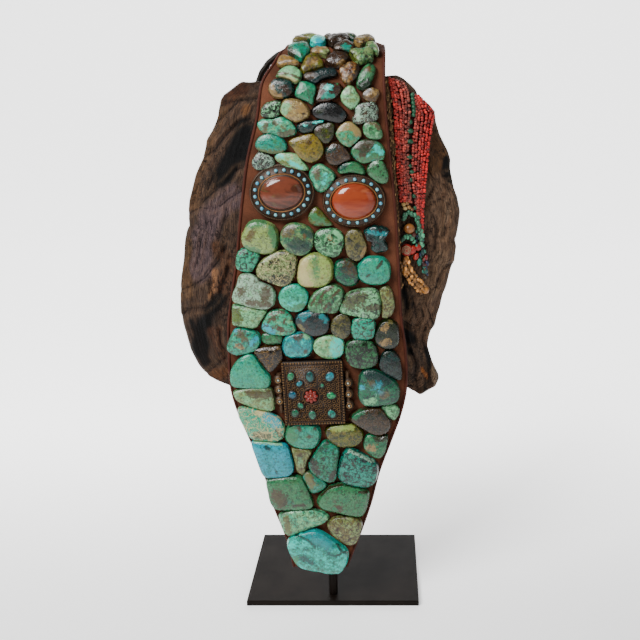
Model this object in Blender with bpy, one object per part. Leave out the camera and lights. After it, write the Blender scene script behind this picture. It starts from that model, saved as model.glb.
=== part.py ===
"""A strap headdress studded with turquoise, hung on its black steel stand.

A long tapering felt strap hangs down the front, bends over a crest and runs a short way down
the back. Stones cover it, with two cabochons in settings and a square amulet box among them.
Creased hide flaps stand out like ears on both sides, with a panel of coral strands on the right.
The origin is the middle of the base plate's underside. X is across, -Y is the front, +Z is up.
"""

import math

import bmesh
import bpy
from mathutils import Matrix, Vector

MM = 0.001
GAP = 0.3 * MM

# Stand
PLATE_WIDTH = 190 * MM
PLATE_DEPTH = 143 * MM
PLATE_THICKNESS = 6.35 * MM
PLATE_BEVEL = 0.8 * MM
POST_DIAMETER = 9.5 * MM
POST_BEND_START = 420 * MM
POST_BEND_END = 500 * MM
POST_POINTS = 14
CRADLE_DIAMETER = 6 * MM
CRADLE_LEFT = -71 * MM
CRADLE_RIGHT = 50 * MM
CRADLE_CORNER_RADIUS = 45 * MM
CRADLE_CORNER_STEPS = 6
CRADLE_LEG = 80 * MM
ROD_SIDES = 2

# Strap
STRAP_SETBACK = 3.5 * MM
STRAP_THICKNESS = 5 * MM
STRAP_TO_POST = 1.8 * MM
TIP_HEIGHT = 43 * MM
FRONT_RUN = 494 * MM
CREST_RADIUS = 60 * MM
TAIL_LENGTH = 150 * MM
STRAP_STEP = 14 * MM
CREST_STEPS = 16
# Up the strap from its tip, the middle of the strap and its half width there
STRAP_WIDTHS = (
    (4, -13, 30), (40, -10, 40), (80, -10, 53), (118, -9.5, 62), (154, -9.5, 74.5),
    (184, -10, 85), (213, -10.5, 91), (250, -11, 91), (283, -12.5, 88), (343, -9, 81),
    (394, -7, 76), (442, -5.5, 69.5), (482, -2, 62), (515, 0, 58), (536, 5.5, 52.5),
    (560, 9, 49), (600, 9, 47), (650, 6, 43), (740, 1, 36), (840, 0, 31),
)

# Ear flaps
FLAP_THICKNESS = 11 * MM
FLAP_TUCK = 25 * MM
FLAP_SWEEP = math.radians(20)
FLAP_COLUMNS = 6
FLAP_ROWS = 21
FLAP_CREST_GAP = 1.2 * MM
# Shares of the full thickness: at the flap's top and bottom, and at its outer edge
FLAP_RIM = 0.45
FLAP_EDGE = 0.5
FLAP_EDGE_SETBACK = 0.2
FOLD_HEIGHT = 2.4 * MM
FOLD_PITCH = 34 * MM
FOLD_SLANT = math.radians(62)
# Height above the tip and how far out the edge of the flap reaches there
LEFT_FLAP_EDGE = (
    (204, 104), (208, 118), (214, 131), (225, 141), (239, 149), (263, 155), (281, 158),
    (303, 157), (337, 152), (357, 148), (399, 140), (425, 131), (441, 123), (468, 112),
    (488, 103), (500, 98), (509, 88), (514, 76),
)
RIGHT_FLAP_EDGE = (
    (194, 97), (200, 107), (210, 115), (228, 108), (248, 101), (258, 103), (269, 109),
    (289, 115), (310, 121), (336, 129), (362, 132), (387, 134), (403, 131), (431, 123),
    (449, 120), (464, 111), (486, 106), (494, 100), (507, 87), (516, 76),
)

# Coral panel and its tassel
PANEL_THICKNESS = 5 * MM
PANEL_GAP = 1.2 * MM
PANEL_STRANDS = 10
PANEL_ROWS = 8
STRAND_RELIEF = 1.3 * MM
# Height above the tip, and the panel's left and right edges there
PANEL_EDGES = (
    (404, 73, 95), (429, 69, 97), (452, 68, 99),
    (468, 67, 100), (480, 66.5, 104), (487, 66, 105), (494, 65, 99), (501, 63, 88), (514, 60, 76),
)
# Across, drop below the panel and diameter of the beads that hang there
TASSEL_BEADS = (
    (81, 4.6, 8), (82, 10.5, 8), (83, 17, 11), (81, 26, 11), (79.5, 35, 10.5), (79, 45, 12),
    (80, 54, 9.5), (81, 61.5, 8.5), (81.5, 68, 8), (85, 73, 7.5), (90, 77, 7.5),
    (94, 81, 8), (97.5, 86.5, 9),
)
BEAD_RINGS = 4
BEAD_SIDES = 6

# Cabochons
CABOCHON_SEGMENTS = 16
SETTING_HEIGHT = 7 * MM
SETTING_SEAT = 3 * MM
SETTING_CHAMFER = 2.2 * MM
CABOCHON_RISE = 11 * MM
CABOCHON_CLEARANCE = 0.4 * MM
# Degrees up a cabochon's dome at which its rings lie
CABOCHON_TURNS = (0, 25, 50, 72)
# Side, across, up the strap, setting width and height, stone width and height, tilt
CABOCHONS = (
    ("left", -41, 412, 63, 54, 42, 32, 8),
    ("right", 28, 404, 61, 51, 43, 35, 3),
)

# Amulet box
BOX_ACROSS = -15 * MM
BOX_UP = 209 * MM
BOX_WIDTH = 62 * MM
BOX_HEIGHT = 68 * MM
BOX_DEPTH = 11 * MM
BOX_WALL = 1.2 * MM
BOX_CORNER = 3 * MM
BOX_INNER_CORNER = 1 * MM
BOX_BORDER = 5 * MM
BOX_BORDER_DEPTH = 1.5 * MM
BOX_TILT = math.radians(2)
CORAL_DIAMETER = 15 * MM
CORAL_RISE = 5 * MM
CORAL_PETALS = 8
CORAL_DROP = 2.5 * MM
# Size and height of the flower's rings, as shares of the whole
CORAL_RINGS = ((1, 0), (1, 0.45), (0.62, 0.9), (0.3, 1))
CORAL_NOTCH = 0.8
HINGE_DIAMETER = 4 * MM
HINGE_KNOB = 6.5 * MM
HINGE_LENGTH = 43 * MM
HINGE_KNOBS = 3
HINGE_KNOB_FOOT = 0.7
HINGE_SIDES = 8

# Stones
STONE_RISE = 3.4 * MM
STONE_RISE_SHARE = 0.2
STONE_SHOULDER = 0.58
STONE_SHOULDER_SIZE = 0.95
STONE_TOP_SIZE = 0.6
STONE_SPACE = 0.5 * MM
STONE_CONTACT = 0.9 * MM
STONE_SHORTEST_SIDE = 1.2 * MM
STONE_OVERHANG = 2 * MM
LONE_GROWTH = 1.03
TOUCHING_GROWTH = 1.3
# Across and up the strap from its tip, width, height and tilt, then the corners of its outline
# and the share of a side that each corner is cut by. Stones under one name touch: one solid.
STONES = {
    "row_01_stones": (
        (-29, 556, 9, 12, 0, 4, 0.26), (-22, 552, 14, 16, 0, 4, 0.19), (-14, 560, 18, 14, 0, 4, 0.19),
        (-4, 551, 16, 14, 0, 4, 0.19), (4, 561, 11, 13, 0, 4, 0.19), (13, 553, 20, 16, 0, 4, 0.19),
        (23, 562, 15, 14, 0, 4, 0.19), (36, 553, 22, 16, 0, 4, 0.16), (48, 548, 11, 14, 0, 4, 0.19),
    ),
    "row_02_stones": (
        (-22, 538, 21, 17, 0, 8, 0), (-3, 538, 20, 13, 0, 4, 0.16), (17, 540, 22, 12, 0, 4, 0.19),
        (14, 529, 22, 12, 0, 4, 0.22), (36, 534, 23, 17, 0, 8, 0),
    ),
    "row_03_stones": (
        (-35, 531, 20, 14, 25, 4, 0.16), (-12, 526, 22, 15, 0, 4, 0.19), (24, 518, 19, 16, 0, 4, 0.19),
        (42, 517, 16, 22, -12, 4, 0.19), (-32, 518, 27, 14, 20, 4, 0.19), (-3, 516, 34, 12, -15, 4, 0.16),
    ),
    "row_04_stones": (
        (-40, 505, 23, 16, 10, 4, 0.19), (-18, 502, 20, 20, 0, 8, 0), (5, 503, 25, 18, 0, 4, 0.19),
        (26, 500, 18, 20, 0, 8, 0), (45, 502, 20, 14, 0, 4, 0.19),
    ),
    "row_05_stones": (
        (-49, 487, 20, 17, 0, 4, 0.22), (-25, 485, 29, 20, 0, 6, 0), (6, 483, 35, 19, 10, 8, 0),
        (38, 484, 27, 21, 0, 4, 0.19),
    ),
    "row_06_stones": (
        (-44, 471, 36, 17, 10, 4, 0.19), (-14, 471, 26, 13, -8, 4, 0.16), (1, 466, 20, 18, 0, 4, 0.19),
        (23, 464, 25, 25, 45, 4, 0.14), (46, 467, 21, 17, 0, 4, 0.22),
    ),
    "row_07_stones": (
        (-49, 454, 32, 18, 5, 8, 0), (-17, 452, 34, 26, 0, 6, 0), (13, 446, 27, 21, 0, 4, 0.19),
        (43, 449, 33, 22, 0, 4, 0.16),
    ),
    "row_08_stone_1": ((-60, 440, 21, 15, 15, 4, 0.19),),
    "row_08_stone_2": ((-32, 441, 31, 13, 25, 4, 0.16),),
    "row_08_stones_3": (
        (-4, 428, 25, 28, 0, 5, 0.19), (23, 434, 28, 12, 0, 4, 0.22), (52, 432, 19, 22, 0, 4, 0.19),
    ),
    "middle_stone": ((-5, 390, 23, 18, 0, 3, 0.11),),
    "row_09_stone_1": ((-64, 369, 35, 34, 5, 4, 0.19),),
    "row_09_stone_2": ((-28, 367, 33, 31, 0, 5, 0.19),),
    "row_09_stone_3": ((3, 363, 30, 30, 0, 6, 0),),
    "row_09_stones_4": ((29, 361, 22, 31, 0, 4, 0.19), (50, 367, 25, 27, 0, 7, 0)),
    "row_10_stone_1": ((-76, 346, 24, 25, -15, 4, 0.16),),
    "row_10_stone_2": ((-47, 338, 42, 36, 0, 5, 0.16),),
    "row_10_stones_3": (
        (-11, 336, 35, 34, 0, 8, 0), (18, 334, 26, 27, 0, 4, 0.19), (47, 336, 32, 28, 0, 4, 0.16),
    ),
    "row_11_stone_1": ((-72, 315, 42, 34, 0, 4, 0.13),),
    "row_11_stones_2": ((-33, 308, 29, 28, 0, 8, 0), (-2, 307, 35, 28, -20, 6, 0)),
    "row_11_stones_4": ((33, 302, 40, 31, 0, 5, 0.22), (58, 304, 15, 33, 0, 4, 0.19)),
    "row_12_stone_1": ((-77, 290, 34, 24, 0, 4, 0.13),),
    "row_12_stones_2": (
        (-48, 283, 35, 26, 0, 8, 0), (-57, 266, 20, 14, 0, 4, 0.19), (-60, 246, 30, 29, 180, 3, 0.16),
    ),
    "row_12_stones_3": ((-15, 282, 35, 25, 0, 6, 0), (13, 279, 22, 25, 0, 4, 0.19)),
    "row_12_stones_5": ((37, 276, 25, 23, 0, 4, 0.16), (60, 271, 25, 30, 0, 6, 0)),
    "row_13_stone_1": ((-84, 263, 32, 27, -8, 4, 0.19),),
    "row_13_stones_3": ((-29, 259, 33, 24, 0, 6, 0), (2, 257, 33, 24, 0, 8, 0)),
    "row_13_stone_5": ((35, 250, 33, 31, 0, 8, 0),),
    "row_14_stone_1": ((-80, 233, 40, 36, 0, 4, 0.16),),
    "row_14_stones_2": ((64, 238, 23, 32, 30, 4, 0.19), (51, 214, 41, 40, 0, 6, 0)),
    "row_15_stone_1": ((-76, 202, 42, 27, 8, 4, 0.16),),
    "row_15_stones_2": (
        (63, 187, 17, 20, 0, 8, 0), (42, 177, 42, 30, 0, 5, 0.19), (45, 151, 23, 26, 0, 4, 0.16),
    ),
    "row_16_stone_1": ((-69, 175, 48, 36, 10, 4, 0.16),),
    "row_16_stone_2": ((-28, 160, 37, 27, 0, 4, 0.19),),
    "row_16_stone_3": ((14, 161, 37, 25, 0, 8, 0),),
    "row_17_stone_1": ((-60, 137, 44, 40, 0, 4, 0.13),),
    "row_17_stones_2": ((-30, 132, 22, 32, 0, 4, 0.13), (-6, 132, 34, 44, -15, 5, 0.14)),
    "row_17_stone_4": ((30, 125, 41, 42, 0, 6, 0),),
    "row_18_stone_1": ((-43, 96, 50, 38, 0, 4, 0.13),),
    "row_18_stones_2": ((-15, 109, 24, 22, 180, 3, 0.16), (14, 89, 53, 38, 0, 4, 0.19)),
    "row_19_stone_1": ((-29, 63, 53, 30, 0, 5, 0.19),),
    "row_19_stone_2": ((15, 53, 39, 33, 0, 4, 0.16),),
    "tip_stone": ((-14, 25, 64, 50, -4, 5, 0.13),),
}
BACK_STONE_ROWS = 7
BACK_STONE_COLUMNS = 2
BACK_STONE_WIDTH = 34 * MM
BACK_STONE_HEIGHT = 30 * MM
BACK_STONE_START = 622 * MM

STRAP_FRONT = -(PLATE_DEPTH / 2 - STRAP_SETBACK)
CREST_AXIS_Y = STRAP_FRONT + CREST_RADIUS
CREST_AXIS_Z = TIP_HEIGHT + FRONT_RUN
CREST_RUN = math.pi * CREST_RADIUS
STRAP_LENGTH = FRONT_RUN + CREST_RUN + TAIL_LENGTH
STRAP_BACK = STRAP_FRONT + STRAP_THICKNESS
POST_Y = STRAP_BACK + STRAP_TO_POST + POST_DIAMETER / 2
CRADLE_TOP = CREST_AXIS_Z + CREST_RADIUS - STRAP_THICKNESS - GAP - CRADLE_DIAMETER / 2

COLOURS = {
    "stand": ((0.020, 0.019, 0.018), 0.38, 0.9),
    "felt": ((0.13, 0.035, 0.02), 0.9, 0),
    "hide": ((0.055, 0.03, 0.02), 0.62, 0),
    "coral": ((0.42, 0.035, 0.03), 0.4, 0),
    "beads": ((0.35, 0.2, 0.06), 0.35, 0),
    "bronze": ((0.11, 0.065, 0.035), 0.45, 0.8),
    "agate": ((0.25, 0.05, 0.02), 0.15, 0),
    "turquoise": ((0.13, 0.34, 0.27), 0.3, 0),
}


def clear_scene():
    for thing in list(bpy.data.objects):
        bpy.data.objects.remove(thing, do_unlink=True)


def material(name):
    colour, roughness, metallic = COLOURS[name]
    made = bpy.data.materials.get(name) or bpy.data.materials.new(name)
    made.use_nodes = True
    shader = made.node_tree.nodes["Principled BSDF"]
    shader.inputs["Base Color"].default_value = (*colour, 1)
    shader.inputs["Roughness"].default_value = roughness
    shader.inputs["Metallic"].default_value = metallic
    return made


def add_object(name, data, finish, collection=None):
    made = bpy.data.objects.new(name, data)
    (collection or bpy.context.scene.collection).objects.link(made)
    data.materials.append(material(finish))
    return made


def loft(name, rings, finish, collection=None):
    """A closed body through rings of points, with a flat cap on the first and the last."""
    form = bmesh.new()
    loops = [[form.verts.new(point) for point in ring] for ring in rings]
    for low, high in zip(loops, loops[1:]):
        for i in range(len(low)):
            j = (i + 1) % len(low)
            form.faces.new((low[i], low[j], high[j], high[i]))
    form.faces.new(reversed(loops[0]))
    form.faces.new(loops[-1])
    bmesh.ops.recalc_face_normals(form, faces=form.faces)
    mesh = bpy.data.meshes.new(name)
    form.to_mesh(mesh)
    form.free()
    mesh.shade_smooth()
    mesh.set_sharp_from_angle(angle=math.radians(35))
    return add_object(name, mesh, finish, collection)


def rod(name, points, diameter, finish):
    """A round bar along the points."""
    data = bpy.data.curves.new(name, "CURVE")
    data.dimensions = "3D"
    data.bevel_depth = diameter / 2
    data.bevel_resolution = ROD_SIDES
    data.use_fill_caps = True
    spline = data.splines.new("POLY")
    spline.points.add(len(points) - 1)
    for place, point in zip(spline.points, points):
        place.co = (*point, 1)
    return add_object(name, data, finish)


def smooth(share):
    share = min(max(share, 0), 1)
    return share * share * (3 - 2 * share)


def between(stations, along, column):
    """The column's value at this length, in metres, on a smooth curve through the stations."""
    along = along / MM
    if along <= stations[0][0]:
        return stations[0][column] * MM
    if along >= stations[-1][0]:
        return stations[-1][column] * MM
    last = len(stations) - 1
    i = next(k for k in range(last) if along <= stations[k + 1][0])
    start, end = stations[i], stations[i + 1]
    before, after = stations[max(i - 1, 0)], stations[min(i + 2, last)]
    span = end[0] - start[0]
    share = (along - start[0]) / span
    rise_in = (end[column] - before[column]) / (end[0] - before[0]) * span
    rise_out = (after[column] - start[column]) / (after[0] - start[0]) * span
    value = (
        (2 * share**3 - 3 * share**2 + 1) * start[column]
        + (share**3 - 2 * share**2 + share) * rise_in
        + (3 * share**2 - 2 * share**3) * end[column]
        + (share**3 - share**2) * rise_out
    )
    return value * MM


def crest_turn(run):
    return min(max((run - FRONT_RUN) / CREST_RADIUS, 0), math.pi)


def strap_place(across, run, lift=0):
    """The frame on the strap's outer side: X across, Y up the strap and Z away from it."""
    turn = crest_turn(run)
    past = max(run - FRONT_RUN - CREST_RUN, 0)
    before = min(run, FRONT_RUN)
    normal = Vector((0, -math.cos(turn), math.sin(turn)))
    along = Vector((0, math.sin(turn), math.cos(turn)))
    axis = Vector((0, CREST_AXIS_Y, TIP_HEIGHT + before - past))
    point = axis + normal * (CREST_RADIUS + lift) + Vector((across, 0, 0))
    frame = Matrix.Identity(4)
    for column, values in enumerate((Vector((1, 0, 0)), along, normal, point)):
        for row in range(3):
            frame[row][column] = values[row]
    return frame


def strap_edge(run, side):
    """How far out the strap's edge is at this length, on the side -1 or +1."""
    return between(STRAP_WIDTHS, run, 1) + side * between(STRAP_WIDTHS, run, 2)


def make_base_plate():
    form = bmesh.new()
    size = Matrix.Diagonal((PLATE_WIDTH, PLATE_DEPTH, PLATE_THICKNESS, 1))
    bmesh.ops.create_cube(form, size=1, matrix=Matrix.Translation((0, 0, PLATE_THICKNESS / 2)) @ size)
    mesh = bpy.data.meshes.new("base_plate")
    form.to_mesh(mesh)
    form.free()
    plate = add_object("base_plate", mesh, "stand")
    edge = plate.modifiers.new("edge", "BEVEL")
    edge.width = PLATE_BEVEL
    edge.segments = 2


def make_post():
    """Upright behind the strap, then bent back to stand under the middle of the crest."""
    top = CRADLE_TOP - CRADLE_DIAMETER / 2 - GAP
    points = [(0, POST_Y, PLATE_THICKNESS + GAP)]
    for i in range(POST_POINTS):
        share = i / (POST_POINTS - 1)
        height = POST_BEND_START + (POST_BEND_END - POST_BEND_START) * share
        points.append((0, POST_Y + (CREST_AXIS_Y - POST_Y) * smooth(share), height))
    points.append((0, CREST_AXIS_Y, top))
    rod("post", points, POST_DIAMETER, "stand")


def make_cradle():
    """A bent rod under the crest, open at the bottom."""
    spring = CRADLE_TOP - CRADLE_CORNER_RADIUS
    path = []
    for side, end in ((1, CRADLE_RIGHT), (-1, CRADLE_LEFT)):
        middle = end - side * CRADLE_CORNER_RADIUS
        leg = [(end, CREST_AXIS_Y, spring - CRADLE_LEG)]
        for i in range(CRADLE_CORNER_STEPS + 1):
            turn = math.pi / 2 * i / CRADLE_CORNER_STEPS
            out = middle + side * CRADLE_CORNER_RADIUS * math.cos(turn)
            leg.append((out, CREST_AXIS_Y, spring + CRADLE_CORNER_RADIUS * math.sin(turn)))
        path += leg if side > 0 else reversed(leg)
    rod("cradle", path, CRADLE_DIAMETER, "stand")


def make_strap():
    runs = []
    front_steps = round(FRONT_RUN / STRAP_STEP)
    start = STRAP_WIDTHS[0][0] * MM
    for i in range(front_steps):
        runs.append(start + (FRONT_RUN - start) * i / front_steps)
    for i in range(CREST_STEPS):
        runs.append(FRONT_RUN + CREST_RUN * i / CREST_STEPS)
    tail_steps = round(TAIL_LENGTH / STRAP_STEP / 2)
    for i in range(tail_steps + 1):
        runs.append(FRONT_RUN + CREST_RUN + TAIL_LENGTH * i / tail_steps)
    rings = []
    for run in runs:
        left, right = strap_edge(run, -1), strap_edge(run, 1)
        outer = [strap_place(across, run).translation for across in (left, right)]
        inner = [strap_place(across, run, -STRAP_THICKNESS).translation for across in (right, left)]
        rings.append(outer + inner)
    loft("strap", rings, "felt")


def strap_back_at(height):
    """Y of the strap's hidden side at this height above the floor, with a gap."""
    above = height - CREST_AXIS_Z
    reach = CREST_RADIUS - STRAP_THICKNESS - FLAP_CREST_GAP
    if above <= 0:
        return CREST_AXIS_Y - reach
    return CREST_AXIS_Y - math.sqrt(max(reach**2 - above**2, 0))


def flap_inner(up, side):
    return strap_edge(up, side) - side * FLAP_TUCK


def flap_front(across, up, side):
    """Y of a flap's front, swept back from the strap's edge, with soft folds further out."""
    out = side * (across - flap_inner(up, side))
    swept = strap_back_at(TIP_HEIGHT + up) + out * math.tan(FLAP_SWEEP)
    calm = smooth((out - FLAP_TUCK) / FLAP_TUCK)
    if side > 0:
        calm *= smooth((PANEL_EDGES[0][0] * MM - up) / FOLD_PITCH)
    along_fold = side * across * math.sin(FOLD_SLANT) + up * math.cos(FOLD_SLANT)
    return swept - calm * FOLD_HEIGHT * (0.5 + 0.5 * math.sin(math.tau * along_fold / FOLD_PITCH))


def make_flap(name, edge, side):
    low, high = edge[0][0] * MM, edge[-1][0] * MM
    rings = []
    for row in range(FLAP_ROWS + 1):
        share = row / FLAP_ROWS
        up = low + (high - low) * (share + smooth(share)) / 2
        inner = flap_inner(up, side)
        outer = side * between(edge, up, 1)
        across = [inner + (outer - inner) * i / FLAP_COLUMNS for i in range(FLAP_COLUMNS + 1)]
        thin = FLAP_RIM + (1 - FLAP_RIM) * smooth(min(up - low, high - up) / (2 * FLAP_THICKNESS))
        front, back = [], []
        for i, x in enumerate(across):
            wall = FLAP_THICKNESS * thin
            y = flap_front(x, up, side)
            if i == FLAP_COLUMNS:
                wall *= FLAP_EDGE
                y += FLAP_THICKNESS * FLAP_EDGE_SETBACK
            front.append((x, y, TIP_HEIGHT + up))
            back.append((x, y + wall, TIP_HEIGHT + up))
        rings.append(front + back[::-1])
    loft(name, rings, "hide")


def make_coral_panel():
    low, high = PANEL_EDGES[0][0] * MM, PANEL_EDGES[-1][0] * MM
    steps = 2 * PANEL_STRANDS
    rings = []
    for row in range(PANEL_ROWS + 1):
        up = low + (high - low) * row / PANEL_ROWS
        left, right = between(PANEL_EDGES, up, 1), between(PANEL_EDGES, up, 2)
        front, back = [], []
        for i in range(steps + 1):
            x = left + (right - left) * i / steps
            hide = flap_front(x, up, 1) - PANEL_GAP
            ridge = STRAND_RELIEF if i % 2 else 0
            front.append((x, hide - PANEL_THICKNESS - ridge, TIP_HEIGHT + up))
            if i in (0, steps):
                back.append((x, hide, TIP_HEIGHT + up))
        rings.append(front + back[::-1])
    loft("coral_panel", rings, "coral")


def unite(name, pieces, finish):
    """One solid from touching pieces. The first keeps the name and takes in the others."""
    first = pieces[0]
    first.name = name
    if len(pieces) > 1:
        others = bpy.data.collections.new(name + "_others")
        others.hide_render = True
        bpy.context.scene.collection.children.link(others)
        for piece in pieces[1:]:
            bpy.context.scene.collection.objects.unlink(piece)
            others.objects.link(piece)
            piece.hide_render = True
            piece.display_type = "WIRE"
        join = first.modifiers.new("join", "BOOLEAN")
        join.operation = "UNION"
        join.operand_type = "COLLECTION"
        join.collection = others


def bead(name, centre, diameter, finish):
    form = bmesh.new()
    bmesh.ops.create_uvsphere(
        form, u_segments=BEAD_SIDES, v_segments=BEAD_RINGS, radius=diameter / 2,
        matrix=Matrix.Translation(centre),
    )
    mesh = bpy.data.meshes.new(name)
    form.to_mesh(mesh)
    form.free()
    return add_object(name, mesh, finish)


def make_tassel():
    pieces = []
    clear = max(size for _, _, size in TASSEL_BEADS) * MM / 2 + PANEL_GAP
    for number, (across, drop, size) in enumerate(TASSEL_BEADS):
        up = (PANEL_EDGES[0][0] - drop) * MM
        y = flap_front(across * MM, up, 1) - clear
        centre = Vector((across * MM, y, TIP_HEIGHT + up))
        pieces.append(bead(f"tassel_{number}", centre, size * MM, "beads"))
    unite("bead_tassel", pieces, "beads")


def ellipse(width, height, rise):
    turns = (math.tau * i / CABOCHON_SEGMENTS for i in range(CABOCHON_SEGMENTS))
    return [(width / 2 * math.cos(t), height / 2 * math.sin(t), rise) for t in turns]


def make_cabochon(side, across, up, width, height, stone_width, stone_height, tilt):
    """An oval setting with a recess, and the polished stone that stands in it."""
    width, height, stone_width, stone_height = (
        value * MM for value in (width, height, stone_width, stone_height)
    )
    mouth = 2 * CABOCHON_CLEARANCE
    place = strap_place(across * MM, up * MM) @ Matrix.Rotation(math.radians(tilt), 4, "Z")
    setting = loft(
        f"cabochon_setting_{side}",
        [
            ellipse(width, height, GAP),
            ellipse(width, height, SETTING_HEIGHT - SETTING_CHAMFER),
            ellipse(width - 2 * SETTING_CHAMFER, height - 2 * SETTING_CHAMFER, SETTING_HEIGHT),
            ellipse(stone_width + mouth, stone_height + mouth, SETTING_HEIGHT),
            ellipse(stone_width + mouth, stone_height + mouth, SETTING_SEAT),
        ],
        "bronze",
    )
    setting.matrix_world = place
    foot = SETTING_SEAT + GAP
    dome = [ellipse(stone_width, stone_height, foot)]
    for angle in CABOCHON_TURNS:
        size = math.cos(math.radians(angle))
        rise = SETTING_HEIGHT + (CABOCHON_RISE - SETTING_HEIGHT) * math.sin(math.radians(angle))
        dome.append(ellipse(stone_width * size, stone_height * size, rise))
    stone = loft(f"cabochon_{side}", dome, "agate")
    stone.matrix_world = place


def rounded_rectangle(width, height, radius, rise):
    points = []
    for quarter in range(4):
        x = (width / 2 - radius) * (1 if quarter in (0, 3) else -1)
        y = (height / 2 - radius) * (1 if quarter in (0, 1) else -1)
        for step in range(3):
            turn = math.radians(90 * quarter + 45 * step)
            points.append((x + radius * math.cos(turn), y + radius * math.sin(turn), rise))
    return points


def make_amulet_box():
    """A shallow square box with its open side against the strap."""
    place = strap_place(BOX_ACROSS, BOX_UP) @ Matrix.Rotation(BOX_TILT, 4, "Z")

    def ring(inset, rise):
        radius = max(BOX_CORNER - inset, BOX_INNER_CORNER)
        return rounded_rectangle(BOX_WIDTH - 2 * inset, BOX_HEIGHT - 2 * inset, radius, rise)

    face = BOX_DEPTH - BOX_BORDER_DEPTH
    box = loft(
        "amulet_box",
        [
            ring(BOX_WALL, face - BOX_WALL), ring(BOX_WALL, GAP), ring(0, GAP),
            ring(0, BOX_DEPTH - BOX_WALL), ring(BOX_WALL, BOX_DEPTH),
            ring(BOX_BORDER - BOX_WALL, BOX_DEPTH), ring(BOX_BORDER, face),
        ],
        "bronze",
    )
    box.matrix_world = place
    make_amulet_coral(place @ Matrix.Translation((-CORAL_DROP, -CORAL_DROP, face + GAP)))
    for name, side in (("amulet_hinge_left", -1), ("amulet_hinge_right", 1)):
        out = side * (BOX_WIDTH / 2 + HINGE_KNOB / 2 + GAP)
        make_hinge(name, place @ Matrix.Translation((out, 0, HINGE_KNOB / 2 + GAP)))


def make_amulet_coral(place):
    rings = []
    count = 2 * CORAL_PETALS
    for size, rise in CORAL_RINGS:
        ring = []
        for i in range(count):
            turn = math.tau * i / count
            reach = CORAL_DIAMETER / 2 * size * (1 if i % 2 else CORAL_NOTCH)
            ring.append((reach * math.cos(turn), reach * math.sin(turn), CORAL_RISE * rise))
        rings.append(ring)
    loft("amulet_coral", rings, "coral").matrix_world = place


def make_hinge(name, place):
    """A tube along the box's side, with round knobs on it."""
    profile = [(-0.5, HINGE_DIAMETER)]
    for knob in range(HINGE_KNOBS):
        middle = (knob + 0.5) / HINGE_KNOBS - 0.5
        half = HINGE_KNOB_FOOT * HINGE_KNOB / HINGE_LENGTH
        profile += [(middle - half, HINGE_DIAMETER), (middle - half / 2, HINGE_KNOB)]
        profile += [(middle + half / 2, HINGE_KNOB), (middle + half, HINGE_DIAMETER)]
    profile.append((0.5, HINGE_DIAMETER))
    rings = []
    for along, diameter in profile:
        ring = []
        for i in range(HINGE_SIDES):
            turn = math.tau * (i + 0.5) / HINGE_SIDES
            reach = diameter / 2
            ring.append((reach * math.cos(turn), along * HINGE_LENGTH, reach * math.sin(turn)))
        rings.append(ring)
    loft(name, rings, "bronze").matrix_world = place


def stone_outline(stone, growth):
    """The outline before it meets its neighbours: a polygon with cut corners and a flat foot."""
    across, up, width, height, tilt, corners, corner_cut = stone
    turn_in = Matrix.Rotation(math.radians(tilt), 2)
    sector = math.tau / corners
    tips = []
    for k in range(corners):
        turn = sector * (k + 0.5) - math.pi / 2
        tips.append(Vector((math.cos(turn), math.sin(turn))))
    shape = tips
    if corner_cut:
        shape = []
        for tip, after in zip(tips, tips[1:] + tips[:1]):
            shape += [tip.lerp(after, corner_cut), after.lerp(tip, corner_cut)]
    low = Vector((min(p.x for p in shape), min(p.y for p in shape)))
    high = Vector((max(p.x for p in shape), max(p.y for p in shape)))
    stretch = Vector((width / (high.x - low.x), height / (high.y - low.y))) * growth
    middle = (low + high) / 2
    points = []
    for point in shape:
        x, y = (point - middle) * stretch
        points.append((turn_in @ Vector((x, y)) + Vector((across, up))) * MM)
    return points


def stone_metric(stone):
    """The matrix whose form is 1 on the stone's ellipse."""
    _, _, width, height, tilt, _, _ = stone
    turn_in = Matrix.Rotation(math.radians(tilt), 2)
    spread = Matrix(((4 / (width * MM) ** 2, 0), (0, 4 / (height * MM) ** 2)))
    return turn_in @ spread @ turn_in.transposed()


def cut(points, at, normal):
    """The part of a convex outline behind a line."""
    kept = []
    for i, point in enumerate(points):
        after = points[(i + 1) % len(points)]
        here, there = (point - at).dot(normal), (after - at).dot(normal)
        if here <= 0:
            kept.append(point)
        if here * there < 0:
            kept.append(point + (after - point) * (here / (here - there)))
    return kept


def cut_by_stone(points, stone, other, space):
    """Cuts an outline at the line where it meets a neighbour, half the space short of it."""
    centre, facing = (Vector(each[:2]) * MM for each in (stone, other))
    way = facing - centre
    own, theirs = stone_metric(stone), stone_metric(other)
    own_reach = 1 / math.sqrt(way.dot(own @ way))
    their_reach = 1 / math.sqrt(way.dot(theirs @ way))
    share = own_reach / (own_reach + their_reach)
    normal = ((own * share + theirs * (1 - share)) @ way).normalized()
    return cut(points, centre + way * share - normal * space / 2, normal)


def cut_by_oval(points, stone, cabochon):
    _, across, up, width, height, _, _, tilt = cabochon
    oval = (across, up, width, height, tilt, CABOCHON_SEGMENTS, 1)
    centre = Vector((across, up)) * MM
    way = Vector(stone[:2]) * MM - centre
    metric = stone_metric(oval)
    edge = way / math.sqrt(way.dot(metric @ way))
    normal = (metric @ edge).normalized()
    return cut(points, centre + edge + normal * STONE_SPACE, -normal)


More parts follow.
